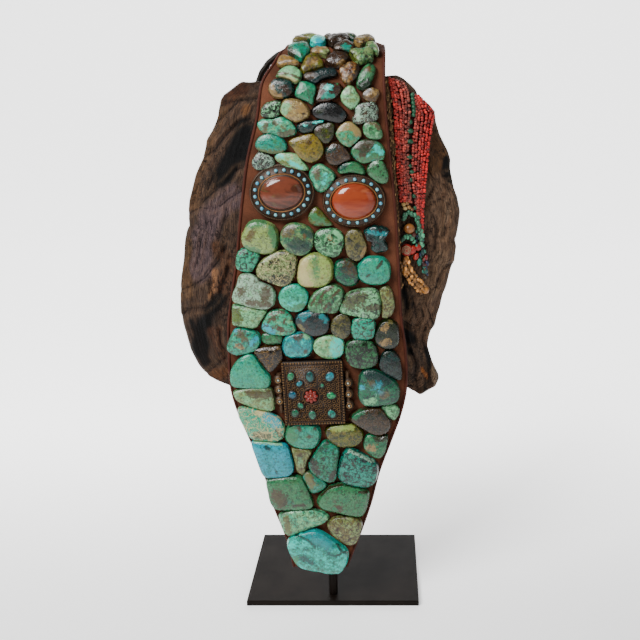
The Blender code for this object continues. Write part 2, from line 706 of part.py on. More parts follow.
def cut_by_box(points, stone):
    """Keeps an outline off the amulet box and its two hinges."""
    centre = Vector((BOX_ACROSS, BOX_UP))
    half_width = BOX_WIDTH / 2 + HINGE_KNOB + STONE_SPACE
    half_height = BOX_HEIGHT / 2 + STONE_SPACE
    turn_in = Matrix.Rotation(BOX_TILT, 2)
    way = turn_in.transposed() @ (Vector(stone[:2]) * MM - centre)
    beyond_side = abs(way.x) - half_width
    beyond_end = abs(way.y) - half_height
    if beyond_side > beyond_end:
        normal = turn_in @ Vector((math.copysign(1, way.x), 0))
        return cut(points, centre + normal * half_width, -normal)
    normal = turn_in @ Vector((0, math.copysign(1, way.y)))
    return cut(points, centre + normal * half_height, -normal)


def cut_by_edges(points, stone):
    """Lets an outline stand out past the strap's edges by no more than the overhang."""
    for side in (-1, 1):
        edge = strap_edge(stone[1] * MM, side) + side * STONE_OVERHANG
        points = cut(points, Vector((edge, 0)), Vector((side, 0)))
    return points


def without_short_sides(points):
    kept = []
    for i, point in enumerate(points):
        if (point - points[i - 1]).length > STONE_SHORTEST_SIDE:
            kept.append(point)
    return kept


def make_stone(name, stone, outline):
    """A flat-backed stone with a shoulder and a low domed top."""
    across, up, width, height = (value * MM for value in stone[:4])
    centre = Vector((across, up))
    rise = STONE_RISE + STONE_RISE_SHARE * min(width, height)
    rings = []
    for size, level in ((1, 0), (STONE_SHOULDER_SIZE, STONE_SHOULDER), (STONE_TOP_SIZE, 1)):
        ring = []
        for point in outline:
            x, y = (point - centre) * size
            ring.append((x, y, GAP + (rise - GAP) * level))
        rings.append(ring)
    made = loft(name, rings, "turquoise")
    made.matrix_world = strap_place(across, up)
    return made


def back_stones():
    """Plain stones down the hidden tail, each touching the next."""
    stones = []
    for row in range(BACK_STONE_ROWS):
        for column in range(BACK_STONE_COLUMNS):
            side = column - (BACK_STONE_COLUMNS - 1) / 2
            across = side * (BACK_STONE_WIDTH - STONE_CONTACT) / MM
            up = (BACK_STONE_START + row * (BACK_STONE_HEIGHT - STONE_CONTACT)) / MM
            size = (BACK_STONE_WIDTH / MM, BACK_STONE_HEIGHT / MM)
            stones.append((across, up, *size, 0, 4, 0.2))
    return stones


def make_stones():
    groups = dict(STONES, back_stones=back_stones())
    everyone = [(name, stone) for name, stones in groups.items() for stone in stones]
    for name, stones in groups.items():
        pieces = []
        for number, stone in enumerate(stones):
            outline = stone_outline(stone, TOUCHING_GROWTH if len(stones) > 1 else LONE_GROWTH)
            for other_name, other in everyone:
                near = Vector(stone[:2]) - Vector(other[:2])
                if other is stone or near.length > max(stone[2:4]) + max(other[2:4]):
                    continue
                space = -STONE_CONTACT if other_name == name else STONE_SPACE
                outline = cut_by_stone(outline, stone, other, space)
            for cabochon in CABOCHONS:
                outline = cut_by_oval(outline, stone, cabochon)
            outline = cut_by_box(outline, stone)
            outline = cut_by_edges(outline, stone)
            outline = without_short_sides(outline)
            pieces.append(make_stone(f"{name}_{number}", stone, outline))
        unite(name, pieces, "turquoise")


def main():
    clear_scene()
    make_base_plate()
    make_post()
    make_cradle()
    make_strap()
    make_flap("ear_flap_left", LEFT_FLAP_EDGE, -1)
    make_flap("ear_flap_right", RIGHT_FLAP_EDGE, 1)
    make_coral_panel()
    make_tassel()
    for cabochon in CABOCHONS:
        make_cabochon(*cabochon)
    make_amulet_box()
    make_stones()


main()
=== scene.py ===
"""The looks of a strap headdress studded with turquoise, hung on its black steel stand.

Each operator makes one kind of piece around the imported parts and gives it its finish.
Lengths are in metres. X is across, -Y is the front and +Z is up.
"""

import math

import bmesh
import bpy
from bpy.props import FloatProperty, FloatVectorProperty, PointerProperty
from mathutils import Matrix, Vector, noise


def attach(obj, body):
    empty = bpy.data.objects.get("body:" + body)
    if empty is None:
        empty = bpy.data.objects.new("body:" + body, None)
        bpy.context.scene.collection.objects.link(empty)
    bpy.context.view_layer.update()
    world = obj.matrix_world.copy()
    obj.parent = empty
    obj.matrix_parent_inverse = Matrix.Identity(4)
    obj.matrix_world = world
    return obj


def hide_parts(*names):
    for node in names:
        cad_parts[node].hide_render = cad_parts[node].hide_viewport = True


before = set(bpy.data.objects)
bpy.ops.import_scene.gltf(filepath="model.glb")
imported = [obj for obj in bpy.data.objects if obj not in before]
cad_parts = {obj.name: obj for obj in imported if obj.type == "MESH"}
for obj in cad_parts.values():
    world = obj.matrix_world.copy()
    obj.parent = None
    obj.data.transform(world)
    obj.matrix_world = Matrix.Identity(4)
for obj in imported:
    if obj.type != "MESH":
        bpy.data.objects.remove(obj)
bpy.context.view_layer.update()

bl_info = {
    "name": "Turquoise Headdress",
    "version": (1, 0, 0),
    "blender": (4, 5, 0),
    "location": "3D View > Sidebar > Headdress",
    "description": "Makes a turquoise-studded strap headdress on its display stand",
    "category": "Add Mesh",
}

MM = 0.001
NOISE_SEED = 7

# The strap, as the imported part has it
STRAP_THICKNESS = 5 * MM
TIP_HEIGHT = 43 * MM
FRONT_RUN = 494 * MM
CREST_RADIUS = 60 * MM
TAIL_LENGTH = 150 * MM
STRAP_FRONT = -68 * MM
CREST_AXIS_Y = STRAP_FRONT + CREST_RADIUS
CREST_RUN = math.pi * CREST_RADIUS
STRAP_EDGE = 1.6 * MM
STRAP_COLUMNS = 48
STRAP_ROWS = 260
FELT_WAVE = 0.3 * MM
PIPING_INSET = 1.3 * MM
PIPING_DROP = 0.4 * MM
STRAP_LENGTH = FRONT_RUN + CREST_RUN + TAIL_LENGTH
# Up the strap from its tip, the middle of the strap and its half width there, in millimetres
STRAP_WIDTHS = (
    (4, -13, 30), (40, -10, 40), (80, -10, 53), (118, -9.5, 62), (154, -9.5, 74.5),
    (184, -10, 85), (213, -10.5, 91), (250, -11, 91), (283, -12.5, 88), (343, -9, 81),
    (394, -7, 76), (442, -5.5, 69.5), (482, -2, 62), (515, 0, 58), (536, 5.5, 52.5),
    (560, 9, 49), (600, 9, 47), (650, 6, 43), (740, 1, 36), (840, 0, 31),
)

# Side, across, up the strap, setting width and height, stone width and height, tilt
CABOCHONS = (
    ("left", -41, 412, 63, 54, 42, 32, 8),
    ("right", 28, 404, 61, 51, 43, 35, 3),
)
SETTING_GRAINS = 110
SETTING_DOTS = (21, 19)
AGATE_STREAK = (150, 134, 92)
CARNELIAN_STREAK = (192, 130, 96)
SETTING_HEIGHT = 7 * MM

BOX_ACROSS = -15 * MM
BOX_UP = 209 * MM
BOX_WIDTH = 62 * MM
BOX_HEIGHT = 68 * MM
BOX_DEPTH = 11 * MM
BOX_TILT = math.radians(2)
FLOWER_ACROSS = -2.5 * MM
FLOWER_UP = -2.5 * MM
PETALS = 8
FILIGREE_ROWS = 13
FILIGREE_COLUMNS = 12
# The border's rows of grains: how far in from the edge, width and colour
BORDER_GRAINS = ((1.2 * MM, 2.2 * MM, (150, 120, 80)), (5 * MM, 1.7 * MM, (132, 104, 70)))
BORDER_WIRE_INSET = 2.9 * MM
# The drops, from the face's middle: across, up, width and height in millimetres, turn in degrees, colour
BOX_DROPS = (
    (-22, 19.5, 7, 9, -20, (60, 160, 120)), (-2.5, 18.5, 8.5, 11.5, 0, (20, 120, 116)),
    (17.5, 18, 8.5, 10.5, -30, (20, 160, 170)), (-13.5, 11.5, 5.5, 7, -50, (24, 150, 160)),
    (9, 8.5, 4.6, 5, 0, (60, 140, 110)), (-21.5, -0.5, 8, 8, 30, (16, 130, 150)),
    (18, -2.5, 10, 7.4, 0, (16, 160, 112)), (-14, -12.5, 6, 7, 30, (10, 150, 120)),
    (-20, -20.5, 7.5, 8.5, -30, (40, 130, 100)), (-2.5, -23, 7.6, 9.5, 0, (70, 140, 116)),
    (17.5, -22.5, 7.6, 9.5, 25, (30, 150, 136)),
)
HINGE_REACH = 21.5 * MM
HINGE_KNOB = 6.5 * MM

# The camera, and where a point shows in the 640 by 640 photo
CAMERA_PLACE = Vector((58.6, -887.1, 556.3)) * MM
CAMERA_PITCH = math.radians(15.64)
FLOOR_REACH = 4
BACKDROP_HEIGHT = 5
BACKDROP_CURVE = 2.2
KEY_PLACE = (-0.8, -0.95, 1.45)
KEY_SIZE = 0.7
FILL_PLACE = (1.1, -0.9, 0.8)
FILL_SIZE = 1
LIGHTS_AIM = Vector((0, 0, 0.3))
CAMERA_LENS = 47.64
CAMERA_SENSOR = 36
CAMERA_SHIFT = -0.103
PHOTO_SIZE = 640
PHOTO_FOCUS = CAMERA_LENS / CAMERA_SENSOR * PHOTO_SIZE

# Ear flaps. The outlines, folds and patches are places in the photo.
FLAP_TUCK = 25 * MM
FLAP_SWEEP = math.radians(20)
FLAP_CREST_GAP = 1.2 * MM
FLAP_LENGTH = 480 * MM
FLAP_RIM = 5 * MM
FLAP_THINNING = 0.82
FLAP_COLUMNS = 72
FLAP_ROWS = 150
LEFT_OUTLINE = (
    (262, 81), (256, 81.5), (250, 82.2), (245, 82), (241, 81.5), (237, 84), (231, 89), (223, 95),
    (220, 100), (218, 110), (217, 117), (211, 131), (206, 139), (205, 147), (202, 159), (195, 175),
    (192, 187), (188.5, 201), (187.5, 213), (188.5, 226), (186, 231), (184, 241), (183, 260),
    (180.4, 277), (179.4, 292), (180, 314), (183.5, 329), (190.6, 351), (198, 365), (207.4, 376),
    (217, 381), (229.4, 386), (238, 389),
)
RIGHT_OUTLINE = (
    (382, 76.5), (389, 75.5), (397, 75), (403, 78), (410, 84), (416, 90), (418, 96), (429, 104),
    (433, 109), (435, 112), (436, 122), (440, 135), (448, 151), (450.6, 159), (450.3, 169),
    (454, 188), (457.5, 197), (460.4, 212), (459, 225), (456.6, 237), (455, 240), (456.6, 246),
    (454.6, 262), (451, 269), (446.6, 287), (443, 295), (440, 308), (437.4, 315), (434.8, 327),
    (431, 331), (429, 337), (427.5, 346), (429.7, 354), (433, 364), (439, 376), (439, 380),
    (435.5, 388), (431, 390), (426, 393), (421.5, 396), (417, 393), (412, 390.6), (406, 386),
    (400, 380),
)
# How deep a fold is in millimetres and how wide in pixels, then its places
LEFT_FOLDS = (
    (2.6, 2.2, ((258, 98), (245, 100), (229, 102), (221, 105))),
    (2.4, 2.2, ((240, 101), (229, 111), (216, 123), (207, 138))),
    (2.8, 2.4, ((252, 118), (240, 121), (225, 136), (214, 150), (204, 158))),
    (2, 2, ((204, 162), (211, 168), (213, 178), (207, 190))),
    (2.4, 2.2, ((244, 190), (229, 199), (221, 206), (212, 209), (200, 207), (188, 214))),
    (2, 2.4, ((243, 167), (235, 171), (225, 184), (211, 193), (202, 203))),
    (1.8, 2, ((226, 208), (228, 216), (222, 226), (219, 240))),
    (2.8, 2.4, ((226, 247), (219, 260), (210, 271), (205, 278), (195, 285), (180, 291))),
    (2.6, 2.4, ((228, 268), (224, 280), (221, 292), (212, 303), (205, 308), (187, 311), (181, 318))),
    (2.2, 2, ((210, 277), (211, 289), (214, 296))),
    (1.6, 1.8, ((203, 234), (199, 252), (196, 268))),
    (2.2, 2, ((229, 355), (217, 365), (207, 373))),
    (1.6, 2, ((219, 330), (221, 345), (226, 352))),
)
RIGHT_FOLDS = (
    (2.4, 2.2, ((449, 174), (437, 180), (429, 197), (424, 206))),
    (2.4, 2, ((428, 168), (436, 181), (444, 185), (453, 192))),
    (2.2, 2, ((428, 206), (440, 199), (450, 190))),
    (2, 2.2, ((444, 236), (446, 220), (447, 211), (451, 200))),
    (2.4, 2.4, ((456, 263), (445, 267), (440, 276), (436, 287), (422, 290), (414, 297))),
    (2.6, 2.2, ((404, 321), (412, 326), (420, 326), (424, 317), (422, 309))),
    (2.2, 2, ((413, 298), (416, 315), (420, 325))),
    (2.6, 2.4, ((411, 350), (416, 365), (415, 378), (418, 389))),
    (2.8, 2.4, ((426, 327), (422, 340), (426, 352), (431, 365), (431, 384))),
    (2, 2, ((426, 304), (431, 317), (434, 328))),
    (2, 2, ((403, 286), (407, 300), (405, 315))),
    (1.8, 2, ((433, 215), (437, 232), (434, 250))),
)
# Colour, radius in pixels, then the places that a patch of hide runs through
LEFT_PATCHES = (
    ((112, 97, 98), 13, ((232, 196), (212, 214), (203, 240), (200, 272))),
    ((114, 92, 72), 6, ((226, 100), (216, 128), (204, 152), (196, 186), (192, 205))),
    ((114, 94, 74), 6, ((186, 245), (185, 270), (186, 296))),
    ((92, 66, 50), 8, ((240, 90), (226, 98))),
    ((128, 98, 70), 4, ((249, 108), (245, 112))),
    ((150, 118, 92), 3.5, ((214, 272), (217, 285), (214, 294))),
    ((118, 88, 64), 6, ((212, 376), (230, 368), (234, 382))),
    ((98, 74, 58), 7, ((216, 246), (226, 262), (222, 300))),
    ((12, 10, 11), 10, ((246, 126), (238, 146), (229, 163), (222, 178))),
    ((12, 10, 11), 7, ((247, 140), (243, 158))),
    ((20, 16, 14), 8, ((219, 300), (207, 318), (201, 338), (202, 352))),
    ((38, 30, 26), 4, ((193, 322), (199, 346), (207, 362))),
    ((96, 72, 58), 6, ((214, 330), (219, 345), (222, 358))),
)
# The right flap's lighter patches are painted lighter still, to make up for the key light reaching that flap
# less
RIGHT_PATCHES = (
    ((118, 94, 72), 9, ((438, 136), (441, 152), (434, 166))),
    ((126, 106, 90), 9, ((444, 208), (446, 232), (442, 252))),
    ((142, 122, 104), 8, ((442, 258), (434, 274), (427, 296))),
    ((150, 130, 112), 3, ((447, 208), (443, 228))),
    ((28, 24, 24), 4.5, ((447, 160), (444, 172), (449, 180))),
    ((40, 34, 34), 6, ((404, 290), (410, 306))),
    ((30, 26, 28), 6, ((407, 330), (411, 346), (413, 352))),
    ((34, 28, 26), 4, ((428, 350), (429, 372), (424, 388))),
    ((172, 120, 72), 2.2, ((423, 369), (427, 377))),
    ((142, 128, 112), 3.6, ((436, 370), (437, 384))),
    ((106, 94, 86), 4, ((417, 346), (419, 360), (412, 378))),
)

# The rolled seam between the strap and the coral panel
SEAM = ((386, 79), (389, 110), (391.5, 140), (394, 170), (396.5, 211), (398.5, 250), (400, 290))
SEAM_STEPS = 80
SEAM_TUFTS = 220
SEAM_LIFT = 3 * MM
SEAM_TUFT_LIFT = 5 * MM
SEAM_TUFT_SIZE = (1.6 * MM, 1.8 * MM, 3 * MM)

# Coral panel: the left and right edges of its strands, as places in the photo
PANEL_LEFT = ((388.5, 78), (392, 95), (394.5, 112), (396, 140), (398, 174), (400.5, 201))
PANEL_MIDDLE_LEFT = ((402, 82), (408, 92), (409.5, 112), (407.5, 140), (408, 174), (411, 202))
PANEL_MIDDLE_RIGHT = ((415, 95), (416, 112), (413.5, 140), (412.5, 174), (416, 202), (419.5, 232))
PANEL_RIGHT = ((418, 96), (434, 112), (429, 140), (425.5, 174), (423.5, 202), (422.5, 232))
PANEL_STRANDS = 6
PANEL_LIFT = 5 * MM
BACKING_LIFT = 3 * MM
BACKING_THICKNESS = 3.4 * MM
# The green column: where its beads show in the photo and their width
GREEN_BEADS = (
    (412.5, 95, 3.4), (412.8, 99, 3.4), (413.2, 103, 3.4), (413.6, 107, 3.4), (413.8, 111, 3.4),
    (413.6, 115, 3.2), (410.6, 122, 3.2), (410.2, 131, 5), (410, 141.5, 5), (409.4, 157, 5),
    (410, 166, 3), (411.6, 172, 4), (411, 180, 3), (414, 196, 3.2), (415, 208, 3),
)
GREEN_BEAD_GROWTH = 1.35
GREEN_BEAD_HEIGHT = 4.6 * MM
# The tassel's beads: where they show in the photo, width and height in pixels, tilt and colour
TASSEL_BEADS = (
    (403.5, 204.5, 4.2, 3.6, 0, (214, 188, 136)), (407, 203.5, 4, 3.6, 0, (168, 128, 84)),
    (405, 208.5, 4.4, 3.6, 0, (206, 184, 140)), (409, 207.5, 4.2, 3.8, 0, (186, 150, 100)),
    (412, 209.5, 3.6, 3.2, 0, (150, 112, 70)), (409.2, 228.6, 10.5, 9.4, 0, (176, 130, 80)),
    (413.5, 234, 5, 6, 20, (120, 66, 46)), (412.6, 250, 6.6, 9, -25, (190, 66, 48)),
    (417.8, 247.5, 7, 6.4, 10, (178, 58, 46)), (416, 256.5, 5, 7.4, -20, (186, 74, 58)),
    (422.5, 252, 4.6, 7, 10, (50, 92, 88)), (419.4, 262, 4.4, 8, 0, (70, 150, 132)),
    (426, 257.5, 3.6, 5.6, 0, (156, 52, 50)), (423.4, 264, 4, 5.6, 10, (84, 44, 42)),
    (427.2, 263.4, 3.4, 5.4, 0, (52, 70, 104)), (425.6, 271, 4.8, 6.4, 10, (64, 120, 110)),
    (405.4, 259.6, 6, 6.4, 15, (190, 140, 80)), (404.6, 270.4, 6, 6, 0, (206, 156, 90)),
    (425.2, 290.6, 7, 6.4, 0, (206, 156, 92)),
)
# Green loops of the tassel, as places in the photo, each with its radius in millimetres
TASSEL_LOOPS = (
    (2.3, ((403, 219), (405.5, 214.5), (411, 213), (415.5, 215.5), (418.5, 222), (420, 231),
           (422, 245))),
    (1.9, ((402, 240), (405, 236.4), (410, 236.6), (413.5, 241))),
)
# The gold chain: the line that its small beads crowd along
CHAIN = ((404, 260), (406.5, 270), (414, 280), (425, 291))
CHAIN_BEADS = 102
# Small drops in mixed colours beside the chain
DROPS = ((417, 232), (420, 246), (424, 262), (426, 276))
DROP_BEADS = 34
TASSEL_LIFT = 6 * MM
DISC_PLACE = (406.5, 250)
DISC_SIZE = (12 * MM, 4.5 * MM, 12.5 * MM)
SPIRAL_STEPS = 60
SPIRAL_TURNS = 2.6
DROP_TONES = ((84, 156, 138), (156, 66, 58), (60, 76, 106), (110, 98, 74), (64, 112, 100))

# The studio's light lifts dark colours, so they are laid on deeper than the screen shows them.
SHADE_GAIN = 0.74
SHADE_CURVE = 3.5

# Finishes of the stones, as red, green and blue of a screen from 0 to 255
STONE_COLOURS = {
    "sky": (8, 224, 212), "cyan": (0, 160, 164), "azure": (0, 180, 196), "aqua": (66, 184, 154),
    "pool": (24, 168, 150), "ice": (176, 204, 184), "mint": (150, 206, 162), "sea": (34, 140, 104),
    "teal": (0, 88, 82), "deep": (16, 72, 72), "slate": (48, 70, 74), "charcoal": (16, 16, 12),
    "jade": (88, 150, 110), "green": (20, 62, 24), "olive": (112, 118, 38), "moss": (50, 66, 30),
    "khaki": (136, 130, 86), "mustard": (154, 138, 62), "sage": (156, 174, 126),
    "lime": (172, 192, 122), "cream": (206, 196, 150), "tan": (172, 148, 104),
    "caramel": (136, 92, 36), "rust": (104, 70, 44), "bark": (84, 60, 44), "umber": (22, 14, 10),
    "pink": (122, 106, 78), "mauve": (106, 84, 60), "grey": (84, 80, 72), "gold": (170, 140, 74),
}
# Enlarged views of the photo that the stones were read from: left, top and how much larger
VIEWS = {
    "left": (160, 30, 9.8), "right": (300, 30, 9.8), "middle": (225, 210, 8.71), "low": (225, 380, 7.84),
}
# For each stone: the view and its outline there, across and down in turn. Then its main colour, its
# second colour and how much of that there is, the colour of its matrix, how much of it runs in veins
# and how much in specks, how domed the stone is and how lumpy. Then patches: colour, radius, places.
STONES = {
    "row_01_stones": (
        ("left", (1290, 80, 1295, 58, 1322, 52, 1352, 72, 1335, 98, 1300, 104),
         "green", "umber", 0.4, "umber", 0.3, 0.2, 0.9, 0.8, ()),
        ("left", (1290, 140, 1310, 100, 1360, 72, 1440, 88, 1456, 130, 1400, 154, 1330, 156),
         "tan", "olive", 0.5, "bark", 0.2, 0.4, 0.8, 0.8, ()),
        ("left", (1372, 72, 1430, 36, 1500, 32, 1545, 58, 1538, 92, 1450, 112),
         "sage", "khaki", 0.3, "bark", 0.1, 0.3, 0.9, 0.5, ()),
        ("right", (90, 140, 98, 105, 150, 74, 220, 74, 252, 110, 242, 165, 190, 182, 110, 168),
         "sky", "aqua", 0.3, "bark", 0, 0.1, 0.9, 0.3, (("azure", 45, (185, 125, 190, 110)),)),
        ("right", (215, 70, 268, 28, 312, 46, 305, 80, 256, 106),
         "olive", "bark", 0.5, "umber", 0.2, 0.3, 0.8, 0.8, ()),
        ("right", (262, 115, 272, 88, 340, 64, 420, 50, 482, 70, 490, 112, 450, 150, 360, 156, 300, 170),
         "moss", "bark", 0.6, "umber", 0.2, 0.4, 0.8, 0.7, ()),
        ("right", (390, 50, 430, 26, 490, 42, 555, 78, 545, 112, 500, 118),
         "teal", "olive", 0.4, "umber", 0.2, 0.2, 0.8, 0.6, ()),
        ("right", (520, 132, 560, 90, 630, 72, 700, 80, 736, 115, 732, 150, 680, 152, 620, 186, 560, 176),
         "tan", "khaki", 0.4, "bark", 0.6, 0.3, 0.7, 0.6, (("green", 14, (600, 160, 700, 110)),)),
        ("right", (640, 172, 690, 134, 732, 160, 772, 210, 764, 252, 736, 244, 690, 196),
         "sage", "jade", 0.4, "bark", 0.3, 0.3, 0.8, 0.9, ()),
    ),
    "row_02_stones": (
        ("left", (1255, 190, 1290, 165, 1370, 150, 1440, 156, 1476, 195, 1468, 250, 1422, 292, 1385, 324,
         1330, 286, 1262, 240), "pool", "sea", 0.4, "bark", 0.15, 0.1, 1, 0.4, (("bark", 34, (1275, 200,
         1300, 240)),)),
        ("right", (98, 240, 112, 200, 160, 176, 200, 194, 250, 184, 298, 206, 302, 240, 270, 272, 240, 276,
         200, 256, 130, 258), "tan", "sage", 0.3, "bark", 0.2, 0.4, 0.8, 0.9, (("sage", 44, (250, 225,
         240, 240)),)),
        ("right", (325, 200, 400, 142, 440, 128, 500, 160, 540, 200, 505, 240, 400, 236, 340, 236),
         "mauve", "bark", 0.35, "umber", 0.2, 0.3, 0.8, 0.8, (("pool", 34, (440, 160, 470, 175)),
         ("olive", 30, (510, 200)))),
        ("right", (248, 292, 290, 252, 360, 236, 430, 232, 478, 254, 486, 300, 430, 332, 380, 372,
         300, 364, 254, 334), "mauve", "bark", 0.5, "umber", 0.25, 0.3, 0.8, 0.9, (("tan", 26, (385, 335,
         420, 310)),)),
        ("right", (478, 228, 530, 208, 600, 204, 660, 188, 716, 198, 728, 260, 712, 312, 650, 330,
         600, 352, 550, 332, 508, 290), "jade", "sage", 0.5, "moss", 0.4, 0.3, 0.8, 1,
         (("charcoal", 15, (640, 258, 655, 262)), ("olive", 40, (500, 240, 520, 280)))),
    ),
    "row_03_stones": (
        ("left", (1152, 345, 1156, 288, 1200, 256, 1262, 262, 1330, 300, 1372, 342, 1340, 366, 1270, 360,
         1200, 366), "tan", "gold", 0.4, "bark", 0.2, 0.4, 0.8, 0.7, (("gold", 20, (1185, 320,
         1200, 300)),)),
        ("right", (14, 390, 22, 350, 60, 280, 120, 252, 188, 264, 224, 310, 232, 370, 160, 400, 90, 410,
         40, 420), "mustard", "olive", 0.4, "bark", 0.3, 0.4, 0.9, 1, (("tan", 30, (150, 290, 90, 320)),)),
        ("right", (385, 440, 388, 380, 430, 344, 490, 324, 560, 336, 594, 362, 585, 430, 540, 500,
         494, 542, 448, 542, 408, 502), "caramel", "tan", 0.4, "umber", 0.4, 0.2, 0.9, 0.8,
         (("umber", 32, (580, 350, 560, 440, 520, 510)), ("umber", 14, (470, 395, 510, 365)))),
        ("right", (550, 562, 562, 480, 600, 400, 640, 348, 700, 328, 742, 360, 736, 420, 704, 490,
         690, 560, 640, 596, 590, 592), "jade", "green", 0.3, "umber", 0.1, 0.2, 0.8, 0.6,
         (("caramel", 26, (660, 395, 672, 378)), ("umber", 40, (600, 545, 660, 510, 650, 560)),
         ("mint", 12, (668, 512)))),
        ("left", (1136, 442, 1200, 384, 1270, 352, 1340, 368, 1388, 410, 1392, 452, 1372, 502, 1328, 532,
         1280, 502, 1210, 476, 1150, 466), "mint", "aqua", 0.2, "bark", 0.1, 0.15, 0.9, 0.4,
         (("rust", 15, (1150, 430, 1240, 420, 1370, 470)), ("cream", 22, (1180, 455, 1280, 480,
         1340, 505)))),
        ("right", (28, 452, 60, 420, 140, 414, 200, 384, 290, 372, 352, 384, 368, 430, 330, 460, 270, 466,
         200, 496, 148, 536, 90, 502, 40, 490), "slate", "deep", 0.5, "umber", 0.35, 0.3, 0.9, 0.5,
         (("mauve", 40, (60, 460, 110, 440)),)),
    ),
    "row_04_stones": (
        ("left", (1064, 552, 1100, 500, 1140, 472, 1220, 478, 1290, 494, 1312, 560, 1302, 630, 1250, 672,
         1170, 682, 1108, 662, 1068, 612), "teal", "deep", 0.4, "bark", 0.2, 0.2, 0.8, 0.5,
         (("tan", 34, (1085, 560, 1110, 640, 1180, 665)), ("bark", 34, (1270, 620, 1200, 560)))),
        ("left", (1324, 602, 1360, 520, 1400, 498, 1470, 512, 1524, 540, 1526, 600, 1506, 660, 1500, 742,
         1450, 716, 1390, 682, 1330, 652), "aqua", "sea", 0.5, "bark", 0.1, 0.35, 0.7, 0.5, ()),
        ("right", (148, 716, 160, 640, 180, 580, 200, 518, 260, 506, 330, 520, 385, 514, 412, 556,
         402, 620, 352, 682, 280, 712, 200, 718), "rust", "bark", 0.5, "umber", 0.15, 0.3, 0.8, 0.6,
         (("sky", 30, (260, 570, 290, 560)), ("pool", 22, (225, 650, 330, 640)), ("jade", 16, (370, 525)))),
        ("right", (404, 622, 440, 568, 480, 538, 530, 548, 552, 600, 586, 650, 582, 712, 550, 762,
         500, 782, 440, 742, 406, 692), "mint", "sage", 0.4, "bark", 0.1, 0.1, 1, 0.5,
         (("umber", 9, (490, 742)),)),
        ("right", (606, 642, 650, 578, 710, 558, 762, 580, 778, 622, 746, 692, 720, 708, 650, 702),
         "tan", "mauve", 0.4, "bark", 0.1, 0.3, 0.9, 0.6, (("grey", 20, (630, 640, 690, 575)),)),
    ),
    "row_05_stones": (
        ("left", (984, 812, 1000, 758, 1040, 718, 1120, 688, 1182, 694, 1192, 740, 1172, 800, 1160, 852,
         1080, 866, 1000, 856), "charcoal", "moss", 0.4, "mint", 0.25, 0.8, 0.8, 0.5, ()),
        ("left", (1174, 762, 1200, 700, 1240, 670, 1330, 672, 1400, 698, 1452, 760, 1472, 812, 1442, 870,
         1370, 896, 1310, 912, 1250, 872, 1190, 822), "cream", "tan", 0.6, "bark", 0.1, 0.5, 0.8, 0.7,
         (("umber", 16, (1405, 822)), ("mint", 40, (1210, 800, 1240, 740)), ("tan", 60, (1380, 760)))),
        ("right", (108, 802, 150, 750, 220, 710, 300, 704, 380, 730, 430, 780, 466, 832, 446, 872,
         410, 916, 330, 906, 250, 882, 160, 862), "charcoal", "slate", 0.3, "umber", 0.1, 0.1, 1, 0.3,
         (("moss", 22, (180, 800, 210, 790)),)),
        ("right", (514, 862, 544, 812, 540, 760, 600, 718, 680, 702, 742, 708, 768, 770, 766, 862,
         722, 898, 650, 896, 580, 926, 530, 912), "mauve", "umber", 0.5, "ice", 0.1, 1, 0.8, 0.5,
         (("ice", 26, (570, 780, 575, 870)),)),
    ),
    "row_06_stones": (
        ("left", (958, 910, 1020, 870, 1100, 874, 1170, 854, 1240, 870, 1292, 910, 1332, 970, 1326, 1032,
         1250, 1052, 1180, 1056, 1100, 1022, 1010, 1012, 970, 962),
         "aqua", "mint", 0.3, "umber", 0.2, 0.4, 0.7, 0.9, (("sky", 20, (985, 920)),
         ("pink", 34, (1040, 930, 1020, 985)), ("pink", 38, (1190, 1020, 1290, 1010)),
         ("pink", 20, (1120, 910, 1200, 960)))),
        ("left", (1334, 952, 1370, 912, 1450, 886, 1540, 880, 1612, 882, 1606, 908, 1520, 952, 1500, 1000,
         1440, 1018, 1370, 1008), "teal", "deep", 0.5, "bark", 0.2, 0.2, 0.8, 0.5, (("sky", 14, (1410, 930,
         1440, 945)), ("sky", 12, (1510, 910, 1590, 892)))),
        ("right", (134, 1002, 150, 960, 200, 918, 290, 902, 332, 924, 338, 1000, 326, 1062, 270, 1112,
         220, 1102, 160, 1052), "olive", "moss", 0.5, "bark", 0.2, 0.3, 0.8, 0.6, (("rust", 22, (175, 970,
         190, 950)), ("green", 22, (270, 1080)))),
        ("right", (344, 1030, 352, 998, 400, 930, 460, 892, 520, 908, 590, 970, 606, 1030, 572, 1082,
         500, 1142, 460, 1152, 400, 1112), "aqua", "jade", 0.5, "tan", 0.1, 0.3, 0.5, 0.3,
         (("tan", 44, (400, 950, 480, 920, 590, 1010)),)),
        ("right", (614, 962, 626, 920, 670, 888, 750, 898, 792, 950, 812, 1020, 802, 1062, 740, 1078,
         670, 1062, 625, 1012), "jade", "mint", 0.3, "bark", 0.1, 0.2, 0.7, 0.3, (("pink", 22, (670, 905,
         740, 925, 775, 960)),)),
    ),
    "row_07_stones": (
        ("left", (934, 1142, 940, 1100, 970, 1050, 1040, 1018, 1120, 1022, 1200, 1060, 1244, 1120,
         1234, 1182, 1182, 1212, 1110, 1218, 1030, 1202, 960, 1182),
         "pool", "jade", 0.3, "bark", 0.03, 0.1, 0.9, 0.15, (("olive", 26, (960, 1180, 1060, 1205,
         1200, 1200)),)),
        ("left", (1258, 1086, 1330, 1050, 1420, 1030, 1500, 1008, 1562, 1060, 1618, 1170, 1582, 1252,
         1490, 1308, 1410, 1282, 1350, 1232, 1310, 1162, 1268, 1122),
         "mustard", "olive", 0.3, "bark", 0.05, 0.15, 0.5, 0.25, (("bark", 20, (1450, 1090, 1470, 1110)),)),
        ("right", (240, 1212, 260, 1160, 310, 1098, 370, 1098, 430, 1130, 480, 1190, 506, 1260, 440, 1292,
         380, 1328, 310, 1328, 258, 1282), "mauve", "bark", 0.4, "umber", 0.3, 0.2, 0.8, 0.5,
         (("teal", 34, (280, 1180, 320, 1170)),)),
